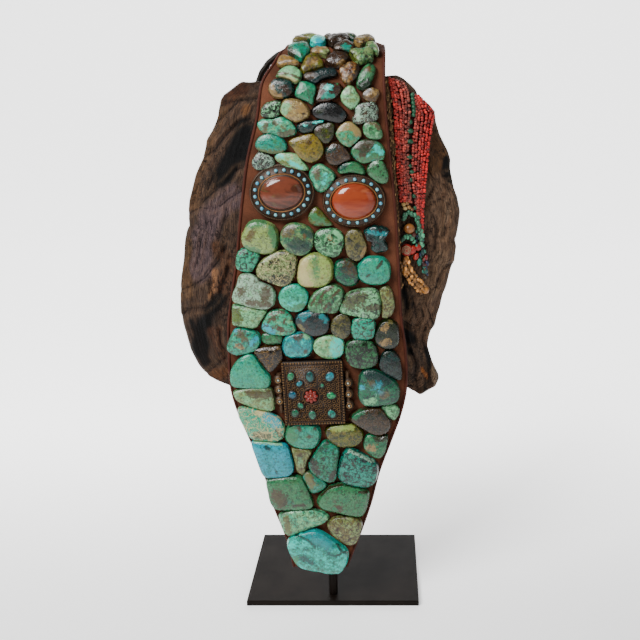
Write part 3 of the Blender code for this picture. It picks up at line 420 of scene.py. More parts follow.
        ("right", (500, 1172, 560, 1098, 620, 1068, 700, 1072, 780, 1098, 822, 1150, 832, 1210, 812, 1272,
         740, 1282, 640, 1308, 570, 1292, 518, 1242), "jade", "pool", 0.3, "rust", 0.1, 0.3, 0.8, 0.4,
         (("bark", 62, (580, 1140, 680, 1110)), ("bark", 36, (600, 1220, 660, 1170)),
         ("sky", 30, (740, 1150, 790, 1200)), ("sky", 18, (660, 1220, 700, 1200)))),
    ),
    "row_08_stone_1": (
        ("left", (904, 1292, 930, 1240, 970, 1194, 1050, 1218, 1102, 1260, 1126, 1312, 1100, 1352,
         1040, 1364, 960, 1372, 906, 1342), "grey", "slate", 0.4, "ice", 0.2, 1, 0.8, 0.6, ()),
    ),
    "row_08_stone_2": (
        ("left", (1124, 1252, 1170, 1200, 1260, 1204, 1350, 1218, 1402, 1290, 1452, 1352, 1432, 1382,
         1340, 1362, 1260, 1342, 1180, 1312), "mint", "cream", 0.3, "tan", 0.1, 0.2, 0.8, 0.4,
         (("sky", 24, (1150, 1230, 1190, 1240)), ("sky", 20, (1260, 1290, 1380, 1350)),
         ("olive", 26, (1180, 1290, 1250, 1315)))),
    ),
    "row_08_stones_3": (
        ("right", (88, 1412, 130, 1338, 200, 1308, 260, 1338, 330, 1388, 352, 1440, 312, 1500, 262, 1570,
         200, 1592, 150, 1560, 112, 1480), "aqua", "mint", 0.3, "bark", 0.3, 0.35, 0.7, 0.4,
         (("pink", 40, (160, 1400, 180, 1440)), ("sky", 22, (250, 1420, 230, 1500)))),
        ("right", (368, 1382, 370, 1348, 400, 1308, 480, 1286, 560, 1298, 620, 1338, 642, 1390, 622, 1418,
         540, 1402, 460, 1402, 390, 1412), "jade", "sea", 0.3, "bark", 0.1, 0.1, 0.9, 0.2,
         (("teal", 34, (395, 1350, 430, 1330)),)),
        ("right", (656, 1400, 660, 1350, 700, 1288, 770, 1262, 822, 1300, 852, 1370, 868, 1450, 842, 1502,
         780, 1502, 700, 1452), "jade", "green", 0.3, "bark", 0.1, 0.1, 0.9, 0.3, ()),
    ),
    "middle_stone": (
        ("middle", (724, 82, 740, 20, 784, -26, 830, 0, 884, 70, 938, 132, 860, 142, 760, 132),
         "olive", "jade", 0.3, "bark", 0.05, 0.1, 0.6, 0.2, (("jade", 30, (760, 50, 850, 100)),)),
    ),
    "row_09_stone_1": (
        ("middle", (148, 222, 170, 168, 200, 110, 262, 84, 350, 94, 430, 130, 466, 200, 462, 300, 442, 362,
         380, 386, 280, 372, 190, 342, 148, 282), "sage", "lime", 0.4, "bark", 0.04, 0.05, 0.6, 0.3,
         (("jade", 40, (210, 120, 330, 105)), ("jade", 34, (400, 160, 440, 300)), ("pink", 30, (240, 190,
         210, 250)), ("jade", 24, (180, 330, 290, 365)))),
    ),
    "row_09_stone_2": (
        ("middle", (484, 282, 490, 190, 540, 124, 620, 112, 700, 128, 762, 180, 778, 260, 752, 342,
         700, 392, 620, 392, 540, 352), "jade", "sage", 0.4, "deep", 0.2, 0.15, 0.7, 0.3,
         (("pink", 44, (540, 200, 570, 170)), ("deep", 62, (600, 300, 690, 320)), ("teal", 30, (680, 180,
         740, 220)), ("caramel", 20, (692, 215, 696, 235)))),
    ),
    "row_09_stone_3": (
        ("middle", (774, 282, 790, 208, 830, 168, 900, 156, 970, 164, 1028, 210, 1038, 290, 1010, 372,
         960, 412, 880, 402, 800, 352), "green", "jade", 0.5, "mint", 0.25, 0.2, 0.6, 0.3,
         (("mint", 22, (960, 190, 1010, 240)), ("tan", 22, (910, 240, 930, 280)))),
    ),
    "row_09_stones_4": (
        ("middle", (1040, 272, 1050, 220, 1080, 174, 1140, 164, 1192, 190, 1212, 260, 1238, 312, 1216, 392,
         1180, 436, 1120, 442, 1070, 402, 1050, 330), "khaki", "moss", 0.3, "charcoal", 0.2, 0.5, 0.7, 0.3,
         (("tan", 16, (1195, 400, 1225, 330)),)),
        ("middle", (1208, 202, 1260, 148, 1330, 134, 1402, 144, 1424, 200, 1384, 240, 1402, 290, 1424, 342,
         1370, 378, 1310, 362, 1268, 330, 1290, 280, 1240, 262),
         "teal", "deep", 0.3, "umber", 0.3, 0.2, 0.9, 1.7, (("umber", 20, (1355, 180)),
         ("umber", 20, (1270, 250, 1290, 300)), ("cyan", 16, (1320, 215)), ("cyan", 18, (1250, 190,
         1390, 210)))),
    ),
    "row_10_stone_1": (
        ("middle", (98, 432, 118, 360, 170, 328, 240, 344, 302, 380, 302, 430, 262, 492, 230, 542,
         170, 538, 98, 508), "aqua", "jade", 0.3, "umber", 0.6, 0.3, 0.7, 0.4, (("rust", 12, (160, 390,
         190, 380)),)),
    ),
    "row_10_stone_2": (
        ("middle", (270, 542, 288, 480, 340, 420, 420, 368, 500, 348, 580, 360, 632, 420, 622, 502,
         602, 592, 550, 652, 480, 662, 400, 632, 300, 592),
         "moss", "sage", 0.45, "cream", 0.1, 0.55, 0.6, 0.35, (("charcoal", 40, (420, 600, 540, 610)),)),
    ),
    "row_10_stones_3": (
        ("middle", (628, 582, 640, 480, 680, 410, 740, 374, 820, 374, 892, 400, 942, 470, 942, 562,
         902, 642, 820, 670, 740, 670, 650, 652), "lime", "sage", 0.3, "tan", 0.05, 0.05, 0.6, 0.25,
         (("cream", 50, (680, 460, 670, 560, 720, 640)), ("jade", 30, (790, 430, 790, 560)),
         ("rust", 12, (655, 480)))),
        ("middle", (948, 562, 960, 458, 1010, 428, 1080, 422, 1132, 460, 1162, 530, 1168, 612, 1122, 658,
         1050, 658, 980, 622), "sea", "teal", 0.4, "deep", 0.3, 0.2, 0.8, 0.4, (("mauve", 60, (1080, 470,
         1110, 530)), ("umber", 22, (1140, 620)))),
        ("middle", (1150, 512, 1170, 458, 1220, 408, 1300, 398, 1382, 408, 1432, 460, 1442, 542, 1432, 602,
         1382, 642, 1290, 652, 1210, 632, 1158, 582), "pool", "aqua", 0.4, "bark", 0.02, 0.05, 0.6, 0.2,
         (("bark", 15, (1330, 500, 1365, 455)), ("bark", 14, (1240, 575, 1275, 540)))),
    ),
    "row_11_stone_1": (
        ("middle", (68, 732, 100, 660, 110, 610, 150, 558, 220, 552, 290, 588, 322, 638, 400, 650,
         438, 720, 428, 822, 370, 862, 260, 852, 150, 822, 78, 790),
         "ice", "mint", 0.3, "mauve", 0.25, 0.7, 0.6, 0.8, (("mauve", 40, (140, 710)),
         ("mauve", 40, (350, 700, 350, 770)), ("mauve", 26, (200, 800, 380, 830)))),
    ),
    "row_11_stones_2": (
        ("middle", (468, 762, 490, 698, 540, 648, 630, 642, 702, 690, 728, 752, 706, 832, 650, 882,
         570, 878, 490, 832), "aqua", "sky", 0.3, "bark", 0, 0.03, 0.6, 0.15, (("jade", 22, (590, 860,
         680, 830)),)),
        ("middle", (718, 852, 740, 770, 800, 698, 880, 652, 970, 648, 1028, 690, 1032, 760, 1002, 852,
         960, 898, 870, 892, 770, 892), "jade", "mint", 0.3, "bark", 0.3, 0.2, 0.7, 0.3,
         (("rust", 12, (800, 830, 860, 720, 940, 670)), ("rust", 12, (870, 860, 930, 760, 990, 700)),
         ("rust", 10, (750, 830, 790, 760)), ("teal", 12, (900, 850, 960, 770)))),
    ),
    "row_11_stones_4": (
        ("middle", (1004, 832, 1040, 758, 1090, 708, 1170, 688, 1262, 678, 1332, 698, 1358, 780, 1358, 882,
         1322, 948, 1230, 942, 1120, 922, 1008, 892), "mint", "ice", 0.3, "umber", 0.4, 0.9, 0.7, 0.3,
         (("mauve", 74, (1090, 800, 1180, 770)), ("mauve", 30, (1240, 860, 1330, 850)))),
        ("middle", (1344, 690, 1390, 658, 1442, 680, 1468, 750, 1478, 842, 1452, 922, 1400, 948, 1364, 932,
         1370, 850, 1355, 762), "khaki", "sage", 0.4, "bark", 0.3, 0.6, 0.8, 0.4, ()),
    ),
    "row_12_stone_1": (
        ("middle", (62, 902, 64, 816, 120, 828, 240, 850, 372, 870, 342, 920, 302, 962, 282, 1028,
         190, 1022, 110, 1008, 62, 992), "mint", "sage", 0.3, "charcoal", 0.2, 0.5, 0.5, 0.5,
         (("olive", 50, (90, 900, 110, 960)), ("rust", 14, (92, 940)))),
    ),
    "row_12_stones_2": (
        ("middle", (322, 992, 340, 958, 380, 888, 450, 862, 530, 872, 582, 930, 608, 1000, 622, 1052,
         570, 1088, 480, 1088, 390, 1078, 324, 1042), "aqua", "mint", 0.3, "rust", 0.4, 0.2, 0.8, 0.3,
         (("azure", 30, (350, 1010, 410, 1060)), ("rust", 20, (380, 970, 430, 935)),
         ("rust", 22, (460, 1030, 500, 1045)), ("rust", 18, (570, 1050)), ("rust", 12, (460, 890,
         510, 890)))),
        ("middle", (318, 1132, 325, 1078, 400, 1068, 492, 1088, 492, 1152, 440, 1170, 360, 1168),
         "jade", "sea", 0.4, "bark", 0.2, 0.3, 0.6, 0.3, ()),
        ("middle", (248, 1216, 330, 1188, 420, 1182, 482, 1178, 502, 1250, 502, 1300, 450, 1362, 402, 1412,
         368, 1392, 328, 1332, 280, 1272), "umber", "bark", 0.3, "gold", 0, 0.35, 0.6, 0.7, ()),
    ),
    "row_12_stones_3": (
        ("middle", (608, 982, 620, 918, 680, 878, 760, 872, 850, 888, 908, 940, 912, 1012, 882, 1072,
         800, 1098, 720, 1088, 650, 1032), "slate", "deep", 0.4, "bark", 0.2, 0.15, 0.9, 0.3,
         (("cyan", 34, (670, 930, 720, 900)), ("cyan", 26, (850, 930, 880, 960)), ("khaki", 20, (650, 1010,
         680, 1040)))),
        ("middle", (918, 1032, 938, 958, 980, 908, 1030, 892, 1082, 930, 1102, 1000, 1102, 1062,
         1060, 1112, 1020, 1128, 950, 1092), "khaki", "moss", 0.4, "umber", 0.2, 0.6, 0.8, 0.4, ()),
    ),
    "row_12_stones_5": (
        ("middle", (1098, 1042, 1114, 958, 1170, 932, 1262, 932, 1308, 970, 1308, 1052, 1282, 1122,
         1200, 1132, 1120, 1118), "pool", "aqua", 0.4, "bark", 0.5, 0.15, 0.6, 0.2, ()),
        ("middle", (1298, 1112, 1328, 1020, 1370, 958, 1440, 952, 1502, 980, 1512, 1062, 1518, 1152,
         1472, 1208, 1400, 1212, 1330, 1182), "moss", "green", 0.4, "umber", 0.2, 0.4, 0.8, 0.4,
         (("tan", 24, (1380, 1040, 1400, 1020)), ("tan", 26, (1370, 1160, 1430, 1140)),
         ("khaki", 20, (1440, 975)))),
    ),
    "row_13_stone_1": (
        ("middle", (18, 1202, 40, 1130, 60, 1080, 100, 1022, 170, 1032, 250, 1048, 302, 1080, 308, 1152,
         272, 1222, 190, 1248, 110, 1262, 48, 1242), "pool", "aqua", 0.4, "bark", 0.3, 0.4, 0.8, 0.4,
         (("pink", 34, (130, 1080, 170, 1130)), ("azure", 24, (270, 1120, 230, 1170)),
         ("azure", 18, (90, 1050)), ("tan", 20, (100, 1180, 150, 1200)))),
    ),
    "row_13_stones_3": (
        ("middle", (502, 1232, 508, 1130, 560, 1078, 640, 1062, 720, 1068, 768, 1120, 768, 1202, 732, 1272,
         650, 1288, 560, 1282), "cyan", "sky", 0.3, "rust", 0.1, 0.1, 0.8, 0.25, (("rust", 22, (615, 1105,
         640, 1130, 665, 1095)), ("mint", 26, (700, 1090, 720, 1110)), ("rust", 20, (700, 1230)))),
        ("middle", (768, 1192, 780, 1148, 830, 1098, 900, 1088, 980, 1098, 1038, 1140, 1038, 1222,
         1002, 1282, 920, 1298, 850, 1282, 790, 1242), "mint", "jade", 0.3, "tan", 0.1, 0.1, 0.8, 0.25,
         (("sky", 52, (980, 1150, 970, 1240)), ("pink", 16, (990, 1180, 975, 1210)),
         ("umber", 8, (900, 1270)))),
    ),
    "row_13_stone_5": (
        ("middle", (1048, 1272, 1050, 1178, 1100, 1128, 1180, 1118, 1270, 1138, 1322, 1190, 1338, 1272,
         1322, 1342, 1250, 1378, 1150, 1372, 1080, 1342),
         "green", "jade", 0.4, "charcoal", 0.35, 0.4, 0.7, 0.3, ()),
    ),
    "row_14_stone_1": (
        ("middle", (48, 1402, 90, 1330, 150, 1272, 210, 1242, 252, 1254, 302, 1330, 352, 1400, 400, 1440,
         398, 1510, 370, 1546, 220, 1542, 80, 1538, 48, 1502),
         "aqua", "pool", 0.4, "jade", 0.15, 0, 0.3, 0.15, ()),
    ),
    "row_14_stones_2": (
        ("middle", (1338, 1342, 1360, 1270, 1400, 1222, 1460, 1222, 1512, 1270, 1532, 1352, 1542, 1442,
         1522, 1482, 1440, 1452, 1370, 1402), "green", "deep", 0.5, "charcoal", 0.5, 0.4, 0.8, 0.4,
         (("teal", 22, (1440, 1270, 1500, 1300)),)),
        ("low", (1045, 90, 1050, 0, 1071, -72, 1125, -95, 1188, -86, 1260, -46, 1332, 0, 1358, 50,
         1368, 110, 1342, 172, 1230, 192, 1110, 202, 1060, 162),
         "teal", "sea", 0.5, "slate", 0.2, 0.4, 0.6, 0.5, (("slate", 50, (1140, -40, 1260, 10)),
         ("pink", 34, (1150, 20)), ("azure", 24, (1170, 70, 1220, 20)), ("azure", 20, (1080, 60)),
         ("pink", 26, (1270, 110, 1240, 130)), ("mint", 24, (1110, 170, 1170, 160)))),
    ),
    "row_15_stone_1": (
        ("low", (64, 112, 70, 80, 150, 58, 250, 44, 362, 48, 388, 110, 392, 180, 386, 238, 330, 242,
         250, 216, 160, 192, 90, 152), "sage", "mint", 0.4, "bark", 0.15, 0.3, 0.5, 0.4,
         (("mauve", 36, (370, 110, 290, 115, 220, 112)), ("mauve", 24, (180, 100)))),
    ),
    "row_15_stones_2": (
        ("low", (1222, 202, 1290, 182, 1352, 200, 1368, 250, 1332, 312, 1290, 292, 1240, 242),
         "jade", "mint", 0.4, "bark", 0.1, 0.2, 0.7, 0.3, ()),
        ("low", (972, 292, 1040, 238, 1120, 212, 1220, 208, 1272, 260, 1302, 320, 1292, 382, 1232, 428,
         1160, 422, 1090, 382, 1010, 332), "moss", "mauve", 0.5, "charcoal", 0.3, 0.6, 0.6, 0.35,
         (("sea", 24, (1020, 290, 1080, 250)),)),
        ("low", (1084, 520, 1100, 440, 1150, 418, 1220, 438, 1272, 428, 1272, 500, 1242, 592, 1190, 608,
         1120, 572), "sea", "jade", 0.4, "umber", 0.2, 0.2, 0.7, 0.4, (("bark", 34, (1200, 460, 1240, 450)),
         ("tan", 26, (1130, 530, 1170, 540)))),
    ),
    "row_16_stone_1": (
        ("low", (104, 260, 110, 208, 180, 212, 280, 228, 370, 258, 442, 300, 472, 370, 462, 440, 430, 472,
         330, 468, 210, 458, 170, 400, 130, 322), "pool", "aqua", 0.5, "cream", 0.3, 0.8, 0.6, 0.6,
         (("azure", 50, (340, 290, 400, 330)), ("cream", 30, (260, 260, 300, 240)), ("bark", 16, (400, 390,
         440, 440)), ("pink", 26, (240, 430, 350, 440)))),
    ),
    "row_16_stone_2": (
        ("low", (472, 412, 490, 370, 540, 332, 630, 332, 722, 350, 752, 400, 746, 462, 710, 528, 630, 532,
         540, 518, 480, 472), "pool", "aqua", 0.4, "bark", 0.1, 0.3, 0.6, 0.25, (("jade", 50, (510, 400,
         520, 460)), ("rust", 17, (580, 375, 590, 395)), ("rust", 17, (655, 450, 670, 440)),
         ("rust", 14, (710, 380)))),
    ),
    "row_16_stone_3": (
        ("low", (784, 392, 840, 354, 930, 338, 1020, 348, 1078, 400, 1082, 462, 1032, 512, 950, 524,
         870, 512, 810, 462), "olive", "green", 0.4, "mustard", 0.1, 0.1, 0.7, 0.2, (("lime", 26, (850, 380,
         990, 370)), ("caramel", 16, (910, 450)))),
    ),
    "row_17_stone_1": (
        ("low", (204, 474, 262, 464, 380, 474, 482, 488, 508, 530, 542, 660, 542, 712, 502, 742, 400, 752,
         308, 756, 270, 660, 235, 560), "azure", "cyan", 0.35, "deep", 0.02, 0.02, 0.25, 0.1,
         (("deep", 13, (310, 530, 350, 545)), ("teal", 13, (400, 715)), ("mint", 12, (230, 480, 330, 490,
         440, 505)))),
    ),
    "row_17_stones_2": (
        ("low", (518, 524, 590, 528, 678, 540, 672, 590, 638, 640, 632, 712, 602, 742, 560, 702, 550, 640,
         530, 580), "sage", "khaki", 0.5, "bark", 0.2, 0.6, 0.6, 0.5, (("bark", 16, (570, 600, 600, 590)),
         ("bark", 13, (600, 695)), ("mint", 22, (590, 650)))),
        ("low", (644, 662, 690, 590, 730, 530, 772, 468, 830, 478, 902, 525, 892, 600, 882, 690, 872, 782,
         832, 802, 760, 782, 690, 732), "pool", "sea", 0.5, "umber", 0.25, 0.7, 0.5, 0.3,
         (("bark", 30, (690, 640, 720, 720)), ("umber", 20, (800, 640, 780, 620)), ("bark", 26, (830, 770,
         860, 720)), ("bark", 16, (800, 490)))),
    ),
    "row_17_stone_4": (
        ("low", (884, 742, 895, 650, 930, 558, 980, 528, 1050, 554, 1130, 600, 1198, 650, 1198, 732,
         1172, 802, 1110, 832, 1020, 822, 920, 792), "slate", "pool", 0.5, "umber", 0.4, 0.9, 0.6, 0.25,
         (("ice", 14, (980, 555, 1160, 640)), ("bark", 12, (1030, 730, 1000, 650)), ("pool", 36, (960, 700,
         1080, 760)))),
    ),
    "row_18_stone_1": (
        ("low", (322, 770, 400, 754, 500, 744, 602, 742, 642, 830, 682, 920, 698, 986, 640, 1002,
         500, 1008, 390, 1008, 355, 940, 335, 850), "jade", "sea", 0.4, "bark", 0.1, 0.15, 0.25, 0.25,
         (("mauve", 50, (400, 900, 440, 960)), ("bark", 18, (480, 900, 460, 980)), ("pool", 17, (510, 950)),
         ("bark", 14, (540, 985, 620, 980)))),
    ),
    "row_18_stones_2": (
        ("low", (608, 745, 660, 713, 730, 760, 802, 810, 770, 852, 700, 882, 668, 862, 640, 800),
         "pool", "sea", 0.4, "bark", 0.1, 0.2, 0.6, 0.3, (("khaki", 34, (650, 750, 680, 820)),
         ("rust", 10, (690, 770)))),
        ("low", (718, 960, 740, 900, 800, 840, 870, 804, 960, 808, 1060, 828, 1134, 870, 1122, 950,
         1092, 1052, 1050, 1064, 960, 1048, 860, 1022, 760, 1002),
         "sea", "jade", 0.5, "bark", 0.12, 0.15, 0.4, 0.3, (("rust", 24, (870, 960, 905, 1010)),
         ("bark", 12, (760, 900, 820, 840, 920, 820)), ("bark", 12, (1050, 880, 1110, 880)))),
    ),
    "row_19_stone_1": (
        ("low", (424, 1045, 480, 1018, 580, 1008, 690, 1002, 782, 1034, 824, 1080, 750, 1122, 660, 1152,
         560, 1192, 488, 1218, 450, 1160, 432, 1100), "mint", "aqua", 0.35, "bark", 0.25, 1, 0.5, 0.4,
         (("khaki", 24, (480, 1080, 500, 1190)),)),
    ),
    "row_19_stone_2": (
        ("low", (802, 1112, 850, 1068, 930, 1058, 1030, 1068, 1084, 1110, 1062, 1180, 1042, 1252,
         1002, 1288, 930, 1272, 860, 1222, 805, 1162), "khaki", "sage", 0.4, "bark", 0.4, 0.15, 0.5, 0.25,
         ()),
    ),
    "tip_stone": (
        ("low", (490, 1292, 494, 1240, 540, 1210, 620, 1180, 702, 1156, 780, 1188, 880, 1258, 968, 1320,
         962, 1396, 934, 1468, 894, 1500, 800, 1492, 690, 1472, 578, 1452, 520, 1362),
         "pool", "sky", 0.4, "slate", 0.06, 0.05, 0.25, 0.35, (("teal", 12, (560, 1215, 660, 1260,
         760, 1350, 880, 1385)), ("slate", 24, (600, 1390, 690, 1430)), ("slate", 16, (630, 1330)),
         ("umber", 12, (880, 1290, 920, 1350, 945, 1350)), ("umber", 8, (910, 1360, 880, 1380)),
         ("cyan", 60, (680, 1200, 800, 1280)), ("jade", 26, (530, 1440, 560, 1400)))),
    ),
}
BACK_STONE_ROWS = 7
BACK_STONE_COLUMNS = 2
BACK_STONE_WIDTH = 34
BACK_STONE_HEIGHT = 30
BACK_STONE_START = 622
STONE_CONTACT = 0.9
# Over the crest the strap turns out of sight: past this run each pixel counts as one step
STEEP_RUN = FRONT_RUN + math.radians(52) * CREST_RADIUS
STEEP_STEP = 1.7 * MM
STONE_MIDDLE = 3 * MM
CREST_DROP = 5 * MM
CREST_FLAT = 22 * MM
STONE_SINK = 1 * MM
# How high the dirt and painted shade at a stone's foot reach
FOOT_DIRT_AND_SHADE_HEIGHT = 3.5 * MM
FLAT_DOME = 0.55
GRAIN_LENGTH = 10 * MM


def length_property(name, description, default):
    """A size that a user can change, in metres."""
    return FloatProperty(name=name, description=description, default=default, unit="LENGTH")


def colour_property(name, description, *screen):
    """A colour that a user can change, from its screen values from 0 to 255."""
    return FloatVectorProperty(
        name=name, description=description, default=[value / 255 for value in screen],
        subtype="COLOR_GAMMA", min=0, max=1,
    )


def shown(colour):
    """A user's colour as screen values from 0 to 255."""
    return [value * 255 for value in colour]


class StandSettings(bpy.types.PropertyGroup):
    steel: colour_property("Steel", "Colour of the steel", 60, 52, 46)
    steel_cloud: colour_property("Steel clouds", "Darker clouds in the steel", 50, 43, 38)


class StrapSettings(bpy.types.PropertyGroup):
    felt: colour_property("Felt", "Colour of the felt", 138, 98, 78)
    felt_blotch: colour_property("Felt blotches", "Darker blotches in the felt", 112, 80, 64)
    felt_worn: colour_property("Worn felt", "Where the felt is worn", 160, 116, 92)
    piping: colour_property("Piping", "Colour of the piping", 112, 68, 52)
    piping_worn: colour_property("Worn piping", "Where the piping is worn", 94, 56, 44)
    piping_radius: length_property("Piping", "Half the width of the piping", 1.5 * MM)


class FlapSettings(bpy.types.PropertyGroup):
    left_hide: colour_property("Left hide", "Colour of the left flap between its patches", 96, 80, 69)
    # The right flap is painted lighter than the left, to make up for the key light reaching it less
    right_hide_painted_lighter: colour_property("Right hide", "Colour of the right flap between its patches", 124, 105, 91)
    thickness: length_property("Thickness", "Thickness of the hide", 9 * MM)
    # The seam's colours are painted lighter than the seam itself, to make up for the shade it lies in
    seam: colour_property("Seam", "Colour of the seam's core", 140, 114, 88)
    seam_tuft: colour_property("Seam tufts", "Colour of the seam's tufts", 168, 142, 110)
    seam_radius: length_property("Seam", "Half the width of the seam's core", 2.2 * MM)


class PanelSettings(bpy.types.PropertyGroup):
    left_outer: colour_property("Coral, far left", "Strand beside the strap", 200, 84, 76)
    left_inner: colour_property("Coral, left of the middle", "Strand left of the green", 168, 102, 90)
    right_inner: colour_property("Coral, right of the middle", "Strand right of the green", 176, 92, 82)
    right_outer: colour_property("Coral, far right", "Strand at the panel's edge", 202, 66, 62)
    green: colour_property("Green beads", "Colour of the green column", 62, 120, 92)
    backing: colour_property("Backing", "Colour of the cloth behind the strands", 98, 30, 28)
    bead_spacing: FloatProperty(
        name="Bead spacing", description="Pixels of the photo from bead to bead", default=2.4, min=1,
    )


class TasselSettings(bpy.types.PropertyGroup):
    chain: colour_property("Chain", "Colour of the chain's beads", 180, 140, 90)
    loops: colour_property("Loops", "Colour of the green loops", 92, 146, 120)
    disc: colour_property("Disc", "Colour of the coral disc", 184, 66, 52)
    chain_bead: length_property("Chain bead", "Width of a bead of the chain", 3.8 * MM)


class CabochonSettings(bpy.types.PropertyGroup):
    agate: colour_property("Agate", "Main colour of the left stone", 142, 92, 74)
    agate_band: colour_property("Agate bands", "Bands in the left stone", 104, 72, 58)
    carnelian: colour_property("Carnelian", "Main colour of the right stone", 172, 98, 68)
    carnelian_band: colour_property("Carnelian bands", "Bands in the right stone", 156, 80, 58)
    setting: colour_property("Setting", "Colour of the bronze settings", 88, 68, 50)
    grain: colour_property("Grains", "Colour of the grains round a setting", 124, 98, 68)
    wire: colour_property("Wire", "Colour of the wire round a stone", 170, 128, 78)
    dot_width: length_property("Dots", "Width of a turquoise dot", 3.5 * MM)


class BoxSettings(bpy.types.PropertyGroup):
    body: colour_property("Body", "Colour of the box", 62, 46, 32)
    wire: colour_property("Wire", "Colour of the filigree", 150, 122, 82)
    bezel: colour_property("Bezels", "Colour of the rims round the drops", 74, 56, 38)
    coral: colour_property("Coral flower", "Colour of the flower's petals", 160, 66, 48)
    knob: colour_property("Hinge knobs", "Colour of the knobs on the hinges", 96, 75, 51)
    wire_radius: length_property("Wire", "Half the width of the filigree's wire", 0.36 * MM)


class StoneSettings(bpy.types.PropertyGroup):
    rise: length_property("Rise", "How far the smallest stone stands off the strap", 3.4 * MM)
    rise_share: FloatProperty(
        name="Rise by size", description="How much of its shorter side a stone rises more",
        default=0.2, subtype="FACTOR", min=0, max=1,
    )
    crest_rise: length_property("Crest rise", "How much more a stone stands up on the crest", 2.5 * MM)
    growth: FloatProperty(
        name="Growth", description="How much larger a stone is than its outline",
        default=1.02, subtype="FACTOR", min=0.5, max=2,
    )
    lump_height: length_property("Lumps", "How high the lumps on a rough stone are", 1.5 * MM)


class StageSettings(bpy.types.PropertyGroup):
    floor: FloatVectorProperty(
        name="Floor", description="Colour of the floor and backdrop",
        default=(0.93, 0.93, 0.93), subtype="COLOR",
    )
    floor_glow: FloatProperty(
        name="Floor glow", description="How much light the floor and backdrop give off", default=2.4, min=0,
    )
    key_power: FloatProperty(
        name="Key light", description="Power of the key light", default=56, unit="POWER",
    )
    fill_power: FloatProperty(
        name="Fill light", description="Power of the fill light", default=3.5, unit="POWER",
    )
    sky_strength: FloatProperty(
        name="Sky", description="Strength of the even light from all sides", default=0.14, min=0,
    )


class Level:
    """A number in a shader. Arithmetic on it adds Math nodes."""

    def __init__(self, finish, socket):
        self.finish = finish
        self.socket = socket

    def math(self, operation, *values):
        made = self.finish.node("ShaderNodeMath", {"operation": operation}, dict(enumerate(values)))
        return Level(self.finish, made.outputs[0])

    def __add__(self, other):
        return self.math("ADD", self, other)

    __radd__ = __add__

    def __sub__(self, other):
        return self.math("SUBTRACT", self, other)

    def __rsub__(self, other):
        return self.math("SUBTRACT", other, self)

    def __mul__(self, other):
        return self.math("MULTIPLY", self, other)

    __rmul__ = __mul__

    def __truediv__(self, other):
        return self.math("DIVIDE", self, other)

    def __abs__(self):
        return self.math("ABSOLUTE", self)

    def clear(self):
        """The number kept between 0 and 1."""
        made = self.finish.node("ShaderNodeClamp", {}, {"Value": self})
        return Level(self.finish, made.outputs[0])

    def ease(self, low, high):
        """0 below low, 1 above high and a smooth step between them."""
        made = self.finish.node(
            "ShaderNodeMapRange", {"interpolation_type": "SMOOTHSTEP"},
            {"Value": self, "From Min": low, "From Max": high},
        )
        return Level(self.finish, made.outputs["Result"])


class Finish:
    """A material while its nodes are added."""

    def __init__(self, name, roughness=0.5, metallic=0.0, **constants):
        self.material = bpy.data.materials.new(name)
        self.material.use_nodes = True
        self.tree = self.material.node_tree
        self.shader = self.tree.nodes["Principled BSDF"]
        self.shader.inputs["Roughness"].default_value = roughness
        self.shader.inputs["Metallic"].default_value = metallic
        for name, value in constants.items():
            self.shader.inputs[name.replace("_", " ").title().replace("Ior", "IOR")].default_value = value

    def node(self, kind, settings, sockets):
        """Adds a node, with its settings first and then the values or links of its sockets."""
        made = self.tree.nodes.new(kind)
        for name, value in settings.items():
            if name == "stops":
                self.set_stops(made.color_ramp, value)
            else:
                setattr(made, name, value)
        for name, value in sockets.items():
            self.feed(made.inputs[name], value)
        return made

    def set_stops(self, ramp, stops):
        while len(ramp.elements) < len(stops):
            ramp.elements.new(0.5)
        for element, (place, shade) in zip(ramp.elements, stops):
            element.position = place
            element.color = (*shade, 1)

    def feed(self, socket, value):
        value = getattr(value, "socket", value)
        if isinstance(value, bpy.types.NodeSocket):
            self.tree.links.new(value, socket)
        elif isinstance(value, tuple) and len(value) == 3 and socket.type == "RGBA":
            socket.default_value = (*value, 1)
        else:
            socket.default_value = value

    def place(self):
        """The object's own coordinates."""
        return self.node("ShaderNodeTexCoord", {}, {}).outputs["Object"]

    def attribute(self, name):
        return self.node("ShaderNodeAttribute", {"attribute_name": name}, {})

    def number(self, name):
        return Level(self, self.attribute(name).outputs["Fac"])

    def colour(self, name):
        return self.attribute(name).outputs["Color"]

    def stretched(self, vector, scale, turn=(0, 0, 0)):
        made = self.node(
            "ShaderNodeMapping", {}, {"Vector": vector, "Scale": scale, "Rotation": turn}
        )
        return made.outputs["Vector"]

    def cloud(self, vector, scale, detail=3.0, rough=0.55, bend=0.0):
        made = self.node(
            "ShaderNodeTexNoise", {},
            {"Vector": vector, "Scale": scale, "Detail": detail, "Roughness": rough, "Distortion": bend},
        )
        return Level(self, made.outputs["Fac"])

    def cells(self, vector, scale, feature="F1", spread=1.0):
        made = self.node(
            "ShaderNodeTexVoronoi", {"feature": feature},
            {"Vector": vector, "Scale": scale, "Randomness": spread},
        )
        return Level(self, made.outputs["Distance"])

    def mix(self, share, first, second, way="MIX"):
        made = self.node(
            "ShaderNodeMix", {"data_type": "RGBA", "blend_type": way},
            {0: share, 6: first, 7: second},
        )
        return made.outputs[2]

    def bump(self, height, strength, distance):
        made = self.node(
            "ShaderNodeBump", {}, {"Height": height, "Strength": strength, "Distance": distance}
        )
        self.feed(self.shader.inputs["Normal"], made.outputs["Normal"])

    def paint(self, **sockets):
        for name, value in sockets.items():
            self.feed(self.shader.inputs[name.replace("_", " ").title()], value)
        return self.material


def shade(*screen):
    """The base colour that shows as this screen colour, from 0 to 255, under the studio's light."""
    return tuple(SHADE_GAIN * ((value / 255 + 0.055) / 1.055) ** SHADE_CURVE for value in screen)


def shade_of(colour):
    """The base colour for a colour that a user can change."""
    return shade(*shown(colour))


def smooth(share):
    share = min(max(share, 0), 1)
    return share * share * (3 - 2 * share)


